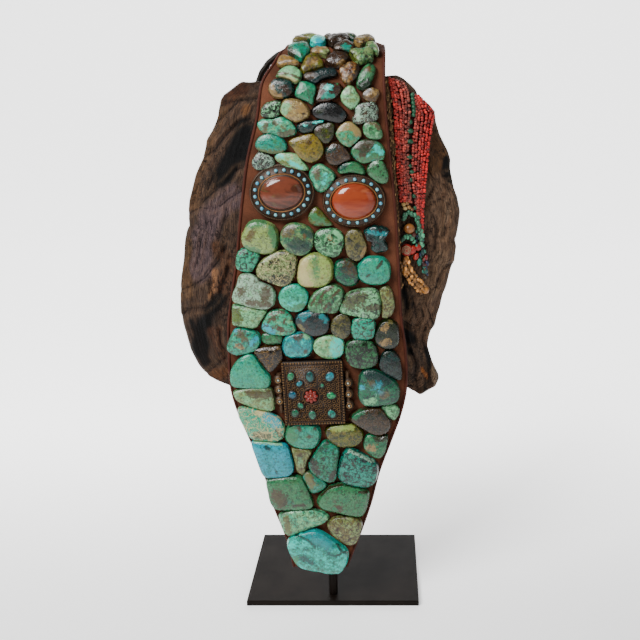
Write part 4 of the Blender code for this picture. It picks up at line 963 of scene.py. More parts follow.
def between(stations, along, column):
    """The column's value at this length, in metres, on a smooth curve through the stations."""
    along = along / MM
    if along <= stations[0][0]:
        return stations[0][column] * MM
    if along >= stations[-1][0]:
        return stations[-1][column] * MM
    last = len(stations) - 1
    i = next(k for k in range(last) if along <= stations[k + 1][0])
    start, end = stations[i], stations[i + 1]
    before, after = stations[max(i - 1, 0)], stations[min(i + 2, last)]
    span = end[0] - start[0]
    share = (along - start[0]) / span
    rise_in = (end[column] - before[column]) / (end[0] - before[0]) * span
    rise_out = (after[column] - start[column]) / (after[0] - start[0]) * span
    value = (
        (2 * share**3 - 3 * share**2 + 1) * start[column]
        + (share**3 - 2 * share**2 + share) * rise_in
        + (3 * share**2 - 2 * share**3) * end[column]
        + (share**3 - share**2) * rise_out
    )
    return value * MM


def strap_place(across, run, lift=0):
    """The frame on the strap's outer side: X across, Y up the strap and Z away from it."""
    turn = min(max((run - FRONT_RUN) / CREST_RADIUS, 0), math.pi)
    past = max(run - FRONT_RUN - CREST_RUN, 0)
    before = min(run, FRONT_RUN)
    normal = Vector((0, -math.cos(turn), math.sin(turn)))
    along = Vector((0, math.sin(turn), math.cos(turn)))
    axis = Vector((0, CREST_AXIS_Y, TIP_HEIGHT + before - past))
    point = axis + normal * (CREST_RADIUS + lift) + Vector((across, 0, 0))
    placed = Matrix.Identity(4)
    for column, values in enumerate((Vector((1, 0, 0)), along, normal, point)):
        for row in range(3):
            placed[row][column] = values[row]
    return placed


def strap_edge(run, side):
    return between(STRAP_WIDTHS, run, 1) + side * between(STRAP_WIDTHS, run, 2)


def finished(name, form, material, slot, *nodes):
    """The object of a finished form, riding on the stand, in place of the named CAD nodes."""
    mesh = bpy.data.meshes.new(name)
    form.to_mesh(mesh)
    form.free()
    mesh.shade_smooth()
    mesh.materials.append(material)
    piece = bpy.data.objects.new(name, mesh)
    bpy.context.scene.collection.objects.link(piece)
    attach(piece, "root")
    if nodes:
        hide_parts(*nodes)
    return piece


def rounded(form, levels):
    """Rounds a form by subdividing it, in place."""
    mesh = bpy.data.meshes.new("cage")
    form.to_mesh(mesh)
    cage = bpy.data.objects.new("cage", mesh)
    bpy.context.scene.collection.objects.link(cage)
    step = cage.modifiers.new("round", "SUBSURF")
    step.levels = step.render_levels = levels
    shown = cage.evaluated_get(bpy.context.evaluated_depsgraph_get())
    form.clear()
    form.from_mesh(shown.to_mesh())
    shown.to_mesh_clear()
    bpy.data.objects.remove(cage)
    bpy.data.meshes.remove(mesh)


def pour(form, other):
    """Adds another form to this one."""
    mesh = bpy.data.meshes.new("poured")
    other.to_mesh(mesh)
    other.free()
    form.from_mesh(mesh)
    bpy.data.meshes.remove(mesh)


def box_of(form):
    low = Vector(min(v.co[axis] for v in form.verts) for axis in range(3))
    high = Vector(max(v.co[axis] for v in form.verts) for axis in range(3))
    return low, high


def flat_outline(corners):
    """A flat polygon with these corners, in the plane that it will be raised from."""
    form = bmesh.new()
    bmesh.ops.create_circle(form, cap_ends=True, segments=len(corners), radius=1)
    for vert, corner in zip(form.verts, corners):
        vert.co = (*corner, 0)
    return form


def curved_corners(corners):
    """More corners, on a smooth closed curve through these."""
    made = []
    for i, start in enumerate(corners):
        before, end, after = (corners[(i + step) % len(corners)] for step in (-1, 1, 2))
        made.append(start)
        made.append((start + end) * 0.5625 - (before + after) * 0.0625)
    return made


def raise_rings(form, rings):
    """Draws the form's one face up through rings, given as (size, height)."""
    face = form.faces[:][0]
    size = 1
    for ring_size, height in rings:
        made = bmesh.ops.extrude_face_region(form, geom=[face])["geom"]
        face = next(item for item in made if isinstance(item, bmesh.types.BMFace))
        step = ring_size / size
        bmesh.ops.scale(form, vec=(step, step, 1), verts=face.verts[:])
        for vert in face.verts:
            vert.co.z = height
        size = ring_size
    bmesh.ops.recalc_face_normals(form, faces=form.faces[:])


def fit(form, low, high):
    """Stretches a form to fill a box."""
    now_low, now_high = box_of(form)
    form.transform(Matrix.Translation(-now_low))
    size = [(high[i] - low[i]) / (now_high[i] - now_low[i]) for i in range(3)]
    form.transform(Matrix.Diagonal((*size, 1)))
    form.transform(Matrix.Translation(low))


def roughen(form, height, wave, start):
    """Moves the points out and in along their normals, by a seeded noise."""
    form.normal_update()
    moves = [
        height * noise.noise(vert.co / wave + start) + height / 3 * noise.noise(vert.co * 2.7 / wave + start)
        for vert in form.verts
    ]
    for vert, move in zip(form.verts, moves):
        vert.co += vert.normal * move


def mark_stone(form, stone, number):
    """Writes what the stone shader reads: colours, shares and a coordinate of the stone's own."""
    main, second, share, matrix, veins, specks = stone[2:8]
    layers = form.verts.layers
    for name, tone in (
        ("main_tint", main), ("second_tint", second), ("matrix_tint", matrix), ("patch_tint", main),
    ):
        layer = layers.float_color.new(name)
        value = (*shade(*STONE_COLOURS[tone]), 1)
        for vert in form.verts:
            vert[layer] = value
    for name, value in (
        ("second_share", share), ("vein_share", veins), ("speck_share", specks), ("patch", 0),
    ):
        layer = layers.float.new(name)
        for vert in form.verts:
            vert[layer] = value
    # Darker towards the stone's foot: dirt in the crevice and painted shade where the stone meets the strap
    foot = layers.float.new("foot")
    grain = layers.float_vector.new("grain")
    start = Vector((7.3, 3.1, 5.7)) * number
    for vert in form.verts:
        vert[foot] = 1 - smooth(vert.co.z / FOOT_DIRT_AND_SHADE_HEIGHT)
        vert[grain] = vert.co / GRAIN_LENGTH + start


def places_of(numbers):
    """Places from numbers that give across and down in turn."""
    return list(zip(numbers[::2], numbers[1::2]))


def mark_patches(form, stone):
    """Lays a stone's patches of colour where they show in the photo."""
    left, top, enlarged = VIEWS[stone[0]]
    patches = [(tone, radius, places_of(numbers)) for tone, radius, numbers in stone[10]]
    tints = form.verts.layers.float_color["patch_tint"]
    shares = form.verts.layers.float["patch"]
    for vert in form.verts:
        spot = photo_pixel(vert.co)
        spot = Vector((spot.x - left, spot.y - top)) * enlarged
        for tone, radius, places in patches:
            share = 1 - stroke_distance(spot, places) / (2 * radius)
            if share > vert[shares]:
                vert[shares] = share
                vert[tints] = (*shade(*STONE_COLOURS[tone]), 1)


def stone_corners(stone):
    """The stone's outline on the strap, as places across and up it."""
    left, top, enlarged = VIEWS[stone[0]]
    return [
        Vector(strap_spot(left + u / enlarged, top + v / enlarged)) for u, v in places_of(stone[1])
    ]


def stone_form(stone, corners, number, sizes):
    """One stone, shaped in the strap's plane and set on the strap."""
    dome, lumps = stone[8:10]
    centre = sum(corners, Vector((0, 0))) / len(corners)
    outline = [(corner - centre) * sizes.growth for corner in corners]
    form = flat_outline(outline if dome < FLAT_DOME else curved_corners(outline))
    if dome < FLAT_DOME:
        bmesh.ops.bevel(
            form, geom=form.verts[:], affect="VERTICES", offset_type="PERCENT",
            offset=24, segments=1, profile=0.5, material=-1,
        )
    low, high = box_of(form)
    short = min(high.x - low.x, high.y - low.y)
    rise = sizes.rise + sizes.rise_share * short
    rise += sizes.crest_rise * smooth((centre.y - FRONT_RUN) / CREST_RADIUS)
    raise_rings(form, (
        (1.04, 0.34 * rise), (1.0 - 0.06 * dome, 0.76 * rise), (0.82 - 0.28 * dome, rise),
    ))
    rounded(form, 2)
    fit(form, Vector((low.x, low.y, -STONE_SINK)), Vector((high.x, high.y, rise)))
    start = Vector((1.7, 2.9, 4.3)) * number
    roughen(form, sizes.lump_height * lumps, 9 * MM, start)
    mark_stone(form, stone, number)
    form.transform(strap_place(*centre))
    if stone[10]:
        mark_patches(form, stone)
    return form


def back_stones():
    """Plain stones down the hidden tail, each with the corners of its outline."""
    tones = ("sea", "aqua", "jade", "khaki", "green", "mint", "slate")
    stones = []
    for row in range(BACK_STONE_ROWS):
        for column in range(BACK_STONE_COLUMNS):
            side = column - (BACK_STONE_COLUMNS - 1) / 2
            number = 2 * row + column
            away = noise.noise_vector(Vector((number * 4.7, 2.2, 9.1)))
            centre = Vector((
                side * (BACK_STONE_WIDTH - STONE_CONTACT) + 3 * away.x,
                BACK_STONE_START + row * (BACK_STONE_HEIGHT - STONE_CONTACT) + 3 * away.y,
            )) * MM
            corners = []
            for step in range(12):
                turn = math.tau * (step + 0.5) / 12
                wander = noise.noise(Vector((number * 3.1, step * 1.3, 0.4)))
                reach = 0.48 + 0.1 * abs(math.sin(2 * turn)) + 0.13 * wander
                way = Vector((math.cos(turn) * BACK_STONE_WIDTH, math.sin(turn) * BACK_STONE_HEIGHT))
                corners.append(centre + way * reach * MM)
            main, second = tones[number % 7], tones[(number * 3 + 2) % 7]
            stones.append((("", (), main, second, 0.4, "bark", 0.25, 0.3, 0.6, 0.5, ()), corners))
    return stones


def photo_pixel(point):
    """Where a point shows in the photo."""
    away = point - CAMERA_PLACE
    deep = away.y * math.cos(CAMERA_PITCH) - away.z * math.sin(CAMERA_PITCH)
    rise = away.y * math.sin(CAMERA_PITCH) + away.z * math.cos(CAMERA_PITCH)
    middle = PHOTO_SIZE / 2
    u = middle - CAMERA_SHIFT * PHOTO_SIZE + PHOTO_FOCUS * away.x / deep
    return Vector((u, middle - PHOTO_FOCUS * rise / deep))


def strap_spot(u, v):
    """Across and up the strap, where a pixel shows its stones at their middle height."""
    low, high = -TIP_HEIGHT, STEEP_RUN
    while high - low > 0.01 * MM:
        run = (low + high) / 2
        point = strap_place(0, run, STONE_MIDDLE).translation
        if photo_pixel(point).y > v:
            low = run
        else:
            high = run
    seen = photo_pixel(point)
    if seen.y - v > 0.1:
        run += (seen.y - v) * STEEP_STEP
    pixels = photo_pixel(point + Vector((MM, 0, 0))).x - seen.x
    return (u - seen.x) / pixels * MM, run


def photo_point(u, v, depth):
    """The point that shows at a pixel, where depth gives its Y from where it is across and up."""
    middle = PHOTO_SIZE / 2
    right = (u - middle + CAMERA_SHIFT * PHOTO_SIZE) / PHOTO_FOCUS
    up = (middle - v) / PHOTO_FOCUS
    ray = Vector((
        right,
        math.cos(CAMERA_PITCH) + up * math.sin(CAMERA_PITCH),
        up * math.cos(CAMERA_PITCH) - math.sin(CAMERA_PITCH),
    ))
    point = Vector((0, STRAP_FRONT, TIP_HEIGHT + FRONT_RUN / 2))
    for _ in range(12):
        reach = (depth(point) - CAMERA_PLACE.y) / ray.y
        point = CAMERA_PLACE + ray * reach
    return point


def strap_back(point):
    """Y just behind the strap at this point's height."""
    above = point.z - TIP_HEIGHT - FRONT_RUN
    reach = CREST_RADIUS - STRAP_THICKNESS - FLAP_CREST_GAP
    if above <= 0:
        return CREST_AXIS_Y - reach
    return CREST_AXIS_Y - math.sqrt(max(reach**2 - above**2, 0))


def flap_depth(side):
    """Y of a flap's front, from where it is across and up."""
    def depth(point):
        inner = strap_edge(point.z - TIP_HEIGHT, side) - side * FLAP_TUCK
        return strap_back(point) + max(side * (point.x - inner), 0) * math.tan(FLAP_SWEEP)
    return depth


def stroke_distance(spot, places):
    """How far a pixel is from a broken line."""
    nearest = (spot - Vector(places[0])).length
    for start, end in zip(places, places[1:]):
        start, end = Vector(start), Vector(end)
        way = end - start
        share = min(max((spot - start).dot(way) / way.length_squared, 0), 1)
        nearest = min(nearest, (spot - start - way * share).length)
    return nearest


def along_line(places, share):
    """The place this far along a broken line, from 0 to 1."""
    lengths = [(Vector(b) - Vector(a)).length for a, b in zip(places, places[1:])]
    left = share * sum(lengths)
    for i, length in enumerate(lengths):
        if left <= length or i == len(lengths) - 1:
            return Vector(places[i]).lerp(Vector(places[i + 1]), min(left / length, 1))
        left -= length


def thick_grid(columns, rows, place):
    """A closed sheet: place gives each point from its shares across and along, and its side."""
    form = bmesh.new()
    bmesh.ops.create_grid(form, x_segments=columns, y_segments=rows, size=0.5)
    across = form.verts.layers.float.new("across")
    along = form.verts.layers.float.new("along")
    for vert in form.verts:
        vert[across] = vert.co.x + 0.5
        vert[along] = vert.co.y + 0.5
    made = bmesh.ops.extrude_face_region(form, geom=form.faces[:])["geom"]
    back = {item for item in made if isinstance(item, bmesh.types.BMVert)}
    for vert in form.verts:
        vert.co = place(vert[across], vert[along], vert in back)
    bmesh.ops.recalc_face_normals(form, faces=form.faces[:])
    return form, back


def tinted_form():
    """An empty form whose points carry a tint."""
    form = bmesh.new()
    form.verts.layers.float_color.new("tint")
    return form


def tint(form, verts, tone):
    layer = form.verts.layers.float_color["tint"]
    value = (*shade(*tone), 1)
    for vert in verts:
        vert[layer] = value


def add_bead(form, centre, size, tone, turn=None, sides=8, rings=6):
    """A small round body, size across its own three directions."""
    bead = tinted_form()
    matrix = Matrix.Translation(centre) @ (turn or Matrix.Identity(4)) @ Matrix.Diagonal((*size, 1))
    bmesh.ops.create_uvsphere(bead, u_segments=sides, v_segments=rings, radius=0.5, matrix=matrix)
    tint(bead, bead.verts, tone)
    pour(form, bead)


def add_tube(form, points, radius, tone, sides=8):
    """A round wire along the points, closed at both ends."""
    curve = bpy.data.curves.new("wire", "CURVE")
    curve.dimensions = "3D"
    curve.bevel_depth = radius
    curve.bevel_resolution = max(sides // 2 - 2, 0)
    curve.use_fill_caps = True
    spline = curve.splines.new("POLY")
    spline.points.add(len(points) - 1)
    for place, point in zip(spline.points, points):
        place.co = (*point, 1)
    wire = bpy.data.objects.new("wire", curve)
    bpy.context.scene.collection.objects.link(wire)
    mesh = bpy.data.meshes.new_from_object(wire.evaluated_get(bpy.context.evaluated_depsgraph_get()))
    start = len(form.verts)
    form.from_mesh(mesh)
    form.verts.ensure_lookup_table()
    tint(form, form.verts[start:], tone)
    bpy.data.objects.remove(wire)
    bpy.data.meshes.remove(mesh)
    bpy.data.curves.remove(curve)


def felt_finish(colours):
    finish = Finish("strap_felt", roughness=0.8, specular_ior_level=0.08)
    place = finish.place()
    nap = finish.cloud(place, 900, 4, 0.7)
    blotch = finish.cloud(place, 45, 4, 0.6)
    worn = finish.cloud(place, 18, 3, 0.5)
    tone = finish.mix(blotch.ease(0.35, 0.7), shade_of(colours.felt), shade_of(colours.felt_blotch))
    tone = finish.mix(worn.ease(0.5, 0.75) * 0.6, tone, shade_of(colours.felt_worn))
    tone = finish.mix(nap.ease(0.3, 0.8) * 0.45, tone, shade(58, 32, 22))
    finish.bump(nap * 0.5 + blotch, 0.4, 0.5 * MM)
    return finish.paint(base_color=tone, roughness=0.72 + nap * 0.2)


def piping_finish(colours):
    finish = Finish("strap_piping", roughness=0.7, specular_ior_level=0.15)
    place = finish.place()
    worn = finish.cloud(place, 60, 4, 0.6)
    tone = finish.mix(worn.ease(0.35, 0.7), shade_of(colours.piping), shade_of(colours.piping_worn))
    finish.bump(finish.cloud(place, 700, 3, 0.6), 0.35, 0.4 * MM)
    return finish.paint(base_color=tone, roughness=0.6 + worn * 0.2)


def hide_finish():
    finish = Finish("ear_hide", roughness=0.6, specular_ior_level=0.12)
    fibre = finish.attribute("fibre").outputs["Vector"]
    place = finish.place()
    hair = finish.cloud(finish.stretched(fibre, (480, 90, 1)), 1, 5, 0.75, 0.3)
    strands = finish.cloud(finish.stretched(fibre, (110, 22, 1)), 1, 5, 0.7, 1.4)
    patches = finish.cloud(place, 34, 5, 0.7)
    grit = finish.cloud(place, 700, 4, 0.75)
    flecks = finish.cloud(finish.stretched(place, (1.5, 1, 1)), 170, 6, 0.8)
    bent = finish.mix(0.12, finish.stretched(place, (1, 1, 0.35)), finish.node(
        "ShaderNodeTexNoise", {}, {"Vector": place, "Scale": 60.0, "Detail": 4.0}).outputs["Color"])
    cracks = 1 - finish.cells(bent, 42, "DISTANCE_TO_EDGE").ease(0.0, 0.07)
    cracks = cracks * patches.ease(0.42, 0.6)
    tone = finish.colour("tone")
    tone = finish.mix(strands.ease(0.46, 0.66) * 0.4, tone, shade(190, 160, 130), "SOFT_LIGHT")
    tone = finish.mix((1 - strands.ease(0.34, 0.5)) * 0.45, tone, shade(90, 74, 64), "MULTIPLY")
    light = finish.mix(1, tone, (2.2, 2.1, 1.95), "MULTIPLY")
    tone = finish.mix(flecks.ease(0.55, 0.63) * 0.5, tone, light)
    tone = finish.mix((1 - flecks.ease(0.36, 0.44)) * 0.85, tone, shade(18, 14, 12))
    tone = finish.mix(hair.ease(0.52, 0.62) * 0.7, tone, light)
    tone = finish.mix((1 - hair.ease(0.38, 0.47)) * 0.75, tone, shade(20, 15, 13))
    tone = finish.mix(cracks * 0.8, tone, shade(18, 13, 12))
    # Painted shade along the folds, broken up by the flecks
    groove = finish.number("groove") * flecks.ease(0.3, 0.55)
    tone = finish.mix(groove.ease(0.45, 0.95) * 0.85, tone, shade(14, 10, 9))
    height = hair * 0.5 + strands * 1.2 + flecks * 1.2 + grit * 0.25 - cracks
    finish.bump(height, 0.9, 1.3 * MM)
    return finish.paint(base_color=tone, roughness=0.48 + grit * 0.2 + patches * 0.14)


def bead_finish(name, roughness, coat):
    finish = Finish(name, coat_weight=coat, coat_roughness=0.15, specular_ior_level=0.3)
    place = finish.place()
    cloud = finish.cloud(place, 350, 3, 0.6)
    worn = finish.cloud(place, 1400, 2, 0.5)
    tone = finish.mix(cloud.ease(0.4, 0.75) * 0.45, finish.colour("tint"), shade(60, 34, 30), "MULTIPLY")
    tone = finish.mix(worn.ease(0.5, 0.8) * 0.3, tone, shade(220, 196, 170), "SOFT_LIGHT")
    finish.bump(worn + cloud, 0.25, 0.3 * MM)
    return finish.paint(base_color=tone, roughness=roughness + cloud * 0.15)


def bronze_finish():
    finish = Finish("old_bronze", metallic=0.75)
    place = finish.place()
    patina = finish.cloud(place, 160, 4, 0.65)
    grit = finish.cloud(place, 1200, 3, 0.6)
    tone = finish.mix(patina.ease(0.4, 0.7) * 0.5, finish.colour("tint"), shade(52, 40, 28))
    tone = finish.mix(grit.ease(0.55, 0.75) * 0.3, tone, shade(150, 112, 66))
    finish.bump(grit + patina, 0.35, 0.3 * MM)
    return finish.paint(base_color=tone, roughness=0.38 + patina * 0.25, metallic=0.6 - patina * 0.3)


def steel_finish(colours):
    finish = Finish("stand_steel", specular_ior_level=0.06)
    place = finish.place()
    cloud = finish.cloud(place, 30, 4, 0.6)
    grain = finish.cloud(place, 1800, 2, 0.6)
    tone = finish.mix(cloud.ease(0.35, 0.7), shade_of(colours.steel), shade_of(colours.steel_cloud))
    finish.bump(grain, 0.12, 0.1 * MM)
    return finish.paint(base_color=tone, roughness=0.42 + cloud * 0.1 + grain * 0.06)


def agate_finish(name, base, second, streak, coat):
    finish = Finish(name, roughness=0.12, coat_weight=coat, specular_ior_level=0.3)
    place = finish.place()
    bend = finish.cloud(place, 40, 3, 0.5)
    bands = finish.cloud(finish.stretched(place, (30, 30, 110), (0, 0.5, 0)), 1, 4, 0.6, 1.2)
    tone = finish.mix(bands.ease(0.42, 0.62), shade_of(base), shade_of(second))
    tone = finish.mix((bend * bands * 4).ease(1.15, 1.45) * 0.6, tone, shade(*streak))
    return finish.paint(base_color=tone, roughness=0.1 + bend * 0.08)


def rib_edge(share, width, radius):
    """How far a rounded edge falls back, near either end of a width."""
    near = min(share, 1 - share) * width
    if near >= radius:
        return 0
    return radius - math.sqrt(max(radius**2 - (radius - near) ** 2, 0))


def flap_form(outline, folds, patches, side, thick, hide):
    """One ear flap: a ruled sheet from behind the strap to the outline, folded and rounded."""
    depth = flap_depth(side)
    outer = [photo_point(u, v, depth) for u, v in outline]
    outer = [(p.x, p.z) for p in outer]
    top, bottom = outer[0][1], outer[-1][1]
    spots = {}

    def place(across, along, is_back):
        rim = along_line(outer, along)
        height = top + (bottom - top) * along
        inner = Vector((strap_edge(height - TIP_HEIGHT, side) - side * FLAP_TUCK, height))
        spot = inner.lerp(rim, across)
        point = Vector((spot.x, 0, spot.y))
        point.y = depth(point)
        width = max((rim - inner).length, 1 * MM)
        edge = rib_edge(min(0.5 + across / 2, 1), 2 * width, FLAP_RIM)
        edge = max(edge, rib_edge(along, FLAP_LENGTH, FLAP_RIM))
        wall = thick * (1 - edge / FLAP_RIM * FLAP_THINNING)
        middle = point.y + thick / 2
        point.y = middle + wall / 2 if is_back else middle - wall / 2
        return point

    form, back = thick_grid(FLAP_COLUMNS, FLAP_ROWS, place)
    layers = form.verts.layers
    across, along = layers.float["across"], layers.float["along"]
    tone, groove = layers.float_color.new("tone"), layers.float.new("groove")
    fibre = layers.float_vector.new("fibre")
    for vert in form.verts:
        spot = photo_pixel(vert.co)
        key = (round(vert[across], 4), round(vert[along], 4))
        if key not in spots:
            wander = Vector((
                noise.noise(vert.co * 70), noise.noise(vert.co * 70 + Vector((5, 5, 5))),
            )) * 2.5
            cut = deepest = ridge_wear_and_highlight = 0
            for deep, wide, places in folds:
                near = stroke_distance(spot + wander * 0.5, places) / wide
                cut = max(cut, deep * math.exp(-near * near))
                deepest = max(deepest, math.exp(-near * near * 2.2))
                cut -= 0.35 * deep * math.exp(-((near - 2.6) ** 2))
                ridge_wear_and_highlight = max(ridge_wear_and_highlight, math.exp(-2 * (near - 1.9) ** 2))
            colour = Vector(shade_of(hide))
            for patch, radius, places in patches:
                near = stroke_distance(spot + wander * 1.6, places) / radius
                colour = colour.lerp(Vector(shade(*patch)), 1 - smooth((near - 0.55) / 0.75))
            # Lighter beige along the ridges beside the folds: wear and a painted highlight, stronger on the
            # right flap
            colour = colour.lerp(Vector(shade(160, 136, 112)), (0.12 if side < 0 else 0.25) * ridge_wear_and_highlight)
            ribs = noise.noise(Vector((vert[across] * 9, vert[along] * 5, 3.1 * side)))
            fine = noise.noise(Vector((vert[across] * 26, vert[along] * 9, 7.7 * side)))
            lumps = noise.noise(vert.co * 45)
            calm = smooth((vert[across] - 0.1) * 4)
            move = (ribs * 1.9 + fine * 0.9 + lumps * 1.2) * calm - cut * calm
            spots[key] = (move * MM, colour, deepest * calm)
        move, colour, deepest = spots[key]
        vert.co.y += move if vert in back else -move
        vert[tone] = (*colour, 1)
        # How near the point is to a fold's line, for the painted shade along the folds
        vert[groove] = deepest
        vert[fibre] = (vert[across] * 0.15, vert[along] * 0.4, side)
    return form


class HEADDRESS_OT_ear_flaps(bpy.types.Operator):
    """Makes the creased hide flaps at both sides"""

    bl_idname = "headdress.ear_flaps"
    bl_label = "Ear flaps"

    def execute(self, context):
        sizes = context.scene.headdress_flaps
        material = hide_finish()
        for name, outline, folds, patches, side, hide in (
            ("left", LEFT_OUTLINE, LEFT_FOLDS, LEFT_PATCHES, -1, sizes.left_hide),
            ("right", RIGHT_OUTLINE, RIGHT_FOLDS, RIGHT_PATCHES, 1, sizes.right_hide_painted_lighter),
        ):
            form = flap_form(outline, folds, patches, side, sizes.thickness, hide)
            finished(f"{name}_hide", form, material, "ear_hide", f"ear_flap_{name}")
        form = tinted_form()
        depth = flap_depth(1)
        points = []
        for step in range(SEAM_STEPS + 1):
            spot = along_line(SEAM, step / SEAM_STEPS)
            wander = noise.noise(Vector((step * 0.9, 4.2, 1.7)))
            points.append(photo_point(spot.x + wander, spot.y, lambda point: depth(point) - SEAM_LIFT))
        # The seam and its tufts are painted lighter, to make up for the shade they lie in
        add_tube(form, points, sizes.seam_radius, shown(sizes.seam))
        for number in range(SEAM_TUFTS):
            away = noise.noise_vector(Vector((number * 2.3, 6.1, 0.9)))
            spot = along_line(SEAM, number / (SEAM_TUFTS - 1))
            centre = photo_point(
                spot.x + 6 * away.x, spot.y + away.y, lambda point: depth(point) - SEAM_TUFT_LIFT
            )
            tone = Vector(shown(sizes.seam_tuft)) * (1 + 0.8 * away.z)
            add_bead(form, centre, SEAM_TUFT_SIZE, tone, sides=6, rings=4)
        finished("furry_seam", form, bead_finish("seam_fur", 0.85, 0), "ear_hide")
        return {"FINISHED"}


def crest_curl(run, near):
    """How far the strap's edges bend down over the crest."""
    top = FRONT_RUN + CREST_RUN / 2
    over = 1 - smooth((abs(run - top) - CREST_FLAT) / CREST_FLAT)
    return CREST_DROP * over * max(1 - near / CREST_FLAT, 0) ** 2


class HEADDRESS_OT_strap(bpy.types.Operator):
    """Makes the felt strap and the piping along its edges"""

    bl_idname = "headdress.strap"
    bl_label = "Strap"

    def execute(self, context):
        sizes = context.scene.headdress_strap
        start = STRAP_WIDTHS[0][0] * MM

        def place(across, along, is_back):
            run = start + (STRAP_LENGTH - start) * along
            left, right = strap_edge(run, -1), strap_edge(run, 1)
            fall = rib_edge(across, right - left, STRAP_EDGE)
            curl = crest_curl(run, min(across, 1 - across) * (right - left))
            lift = -STRAP_THICKNESS + fall if is_back else -fall
            if not is_back:
                lift += FELT_WAVE * noise.noise(Vector((across * 9, along * 60, 0)))
            return strap_place(left + (right - left) * across, run, lift - curl).translation

        form, _ = thick_grid(STRAP_COLUMNS, STRAP_ROWS, place)
        finished("felt_strap", form, felt_finish(sizes), "strap_felt", "strap")
        form = tinted_form()
        for side in (-1, 1):
            points = []
            for step in range(STRAP_ROWS + 1):
                run = start + (STRAP_LENGTH - start) * step / STRAP_ROWS
                out = strap_edge(run, side) - side * PIPING_INSET
                points.append(strap_place(out, run, -PIPING_DROP - crest_curl(run, 0)).translation)
            add_tube(form, points, sizes.piping_radius, shown(sizes.piping))
        finished("strap_piping", form, piping_finish(sizes), "strap_felt")
        return {"FINISHED"}


class HEADDRESS_OT_coral_panel(bpy.types.Operator):
    """Makes the strands of coral beads and their green column"""

    bl_idname = "headdress.coral_panel"
    bl_label = "Coral panel"

    def execute(self, context):
        sizes = context.scene.headdress_panel
        form = tinted_form()
        depth = flap_depth(1)

        def proud(point):
            return depth(point) - PANEL_LIFT

        groups = (
            (PANEL_LEFT, PANEL_MIDDLE_LEFT, sizes.left_outer, sizes.left_inner),
            (PANEL_MIDDLE_RIGHT, PANEL_RIGHT, sizes.right_inner, sizes.right_outer),
        )
        number = 0
        for left, right, first, last in groups:
            for strand in range(PANEL_STRANDS):
                share = strand / (PANEL_STRANDS - 1)
                strand_tone = Vector(shown(first)).lerp(Vector(shown(last)), share)
                length = (along_line(left, 1) - along_line(left, 0)).length
                beads = round(length / sizes.bead_spacing)
                for step in range(beads + 1):
                    number += 1
                    wander = noise.noise_vector(Vector((number * 1.7, 2.1, 0.4)))
                    sway = noise.noise(Vector((strand * 3.3 + PANEL_STRANDS, step * 0.11, 6.2)))
                    down = min(max((step + wander.x) / beads, 0), 1)
                    spot = along_line(left, down).lerp(along_line(right, down), share)
                    centre = photo_point(spot.x + wander.y * 0.7 + sway * 1.1, spot.y, proud)
                    centre.y += wander.z * 1.1 * MM
                    light = 1 + 0.5 * noise.noise(Vector((number * 0.83, 9.1, 4.4)))
                    tone = [min(value * light, 255) for value in strand_tone]
                    lie = Matrix.Rotation(wander.x, 4, "Y") @ Matrix.Rotation(wander.y, 4, "X")
                    size = (3.5 * MM, 3.2 * MM, (2.9 + wander.z) * MM)
                    add_bead(form, centre, size, tone, lie, sides=6, rings=5)
        for u, v, wide in GREEN_BEADS:
            centre = photo_point(u, v, proud)
            wide *= GREEN_BEAD_GROWTH * MM
            high = min(wide * 1.15, GREEN_BEAD_HEIGHT)
            add_bead(form, centre, (wide, wide, high), shown(sizes.green))
        finished("coral_strands", form, bead_finish("coral_bead", 0.45, 0.12), "coral", "coral_panel")
        self.add_backing(depth, shown(sizes.backing))
        return {"FINISHED"}

    def add_backing(self, depth, tone):
        """The cloth that the strands are sewn to."""
        def place(across, along, is_back):
            spot = along_line(PANEL_LEFT, along).lerp(along_line(PANEL_RIGHT, along), across)
            point = photo_point(spot.x, spot.y, lambda point: depth(point) - BACKING_LIFT)
            if is_back:
                point.y += BACKING_THICKNESS
            return point

        form, _ = thick_grid(10, 40, place)
        form.verts.layers.float_color.new("tint")
        tint(form, form.verts, tone)
        finished("coral_backing", form, bead_finish("coral_cloth", 0.8, 0), "coral")


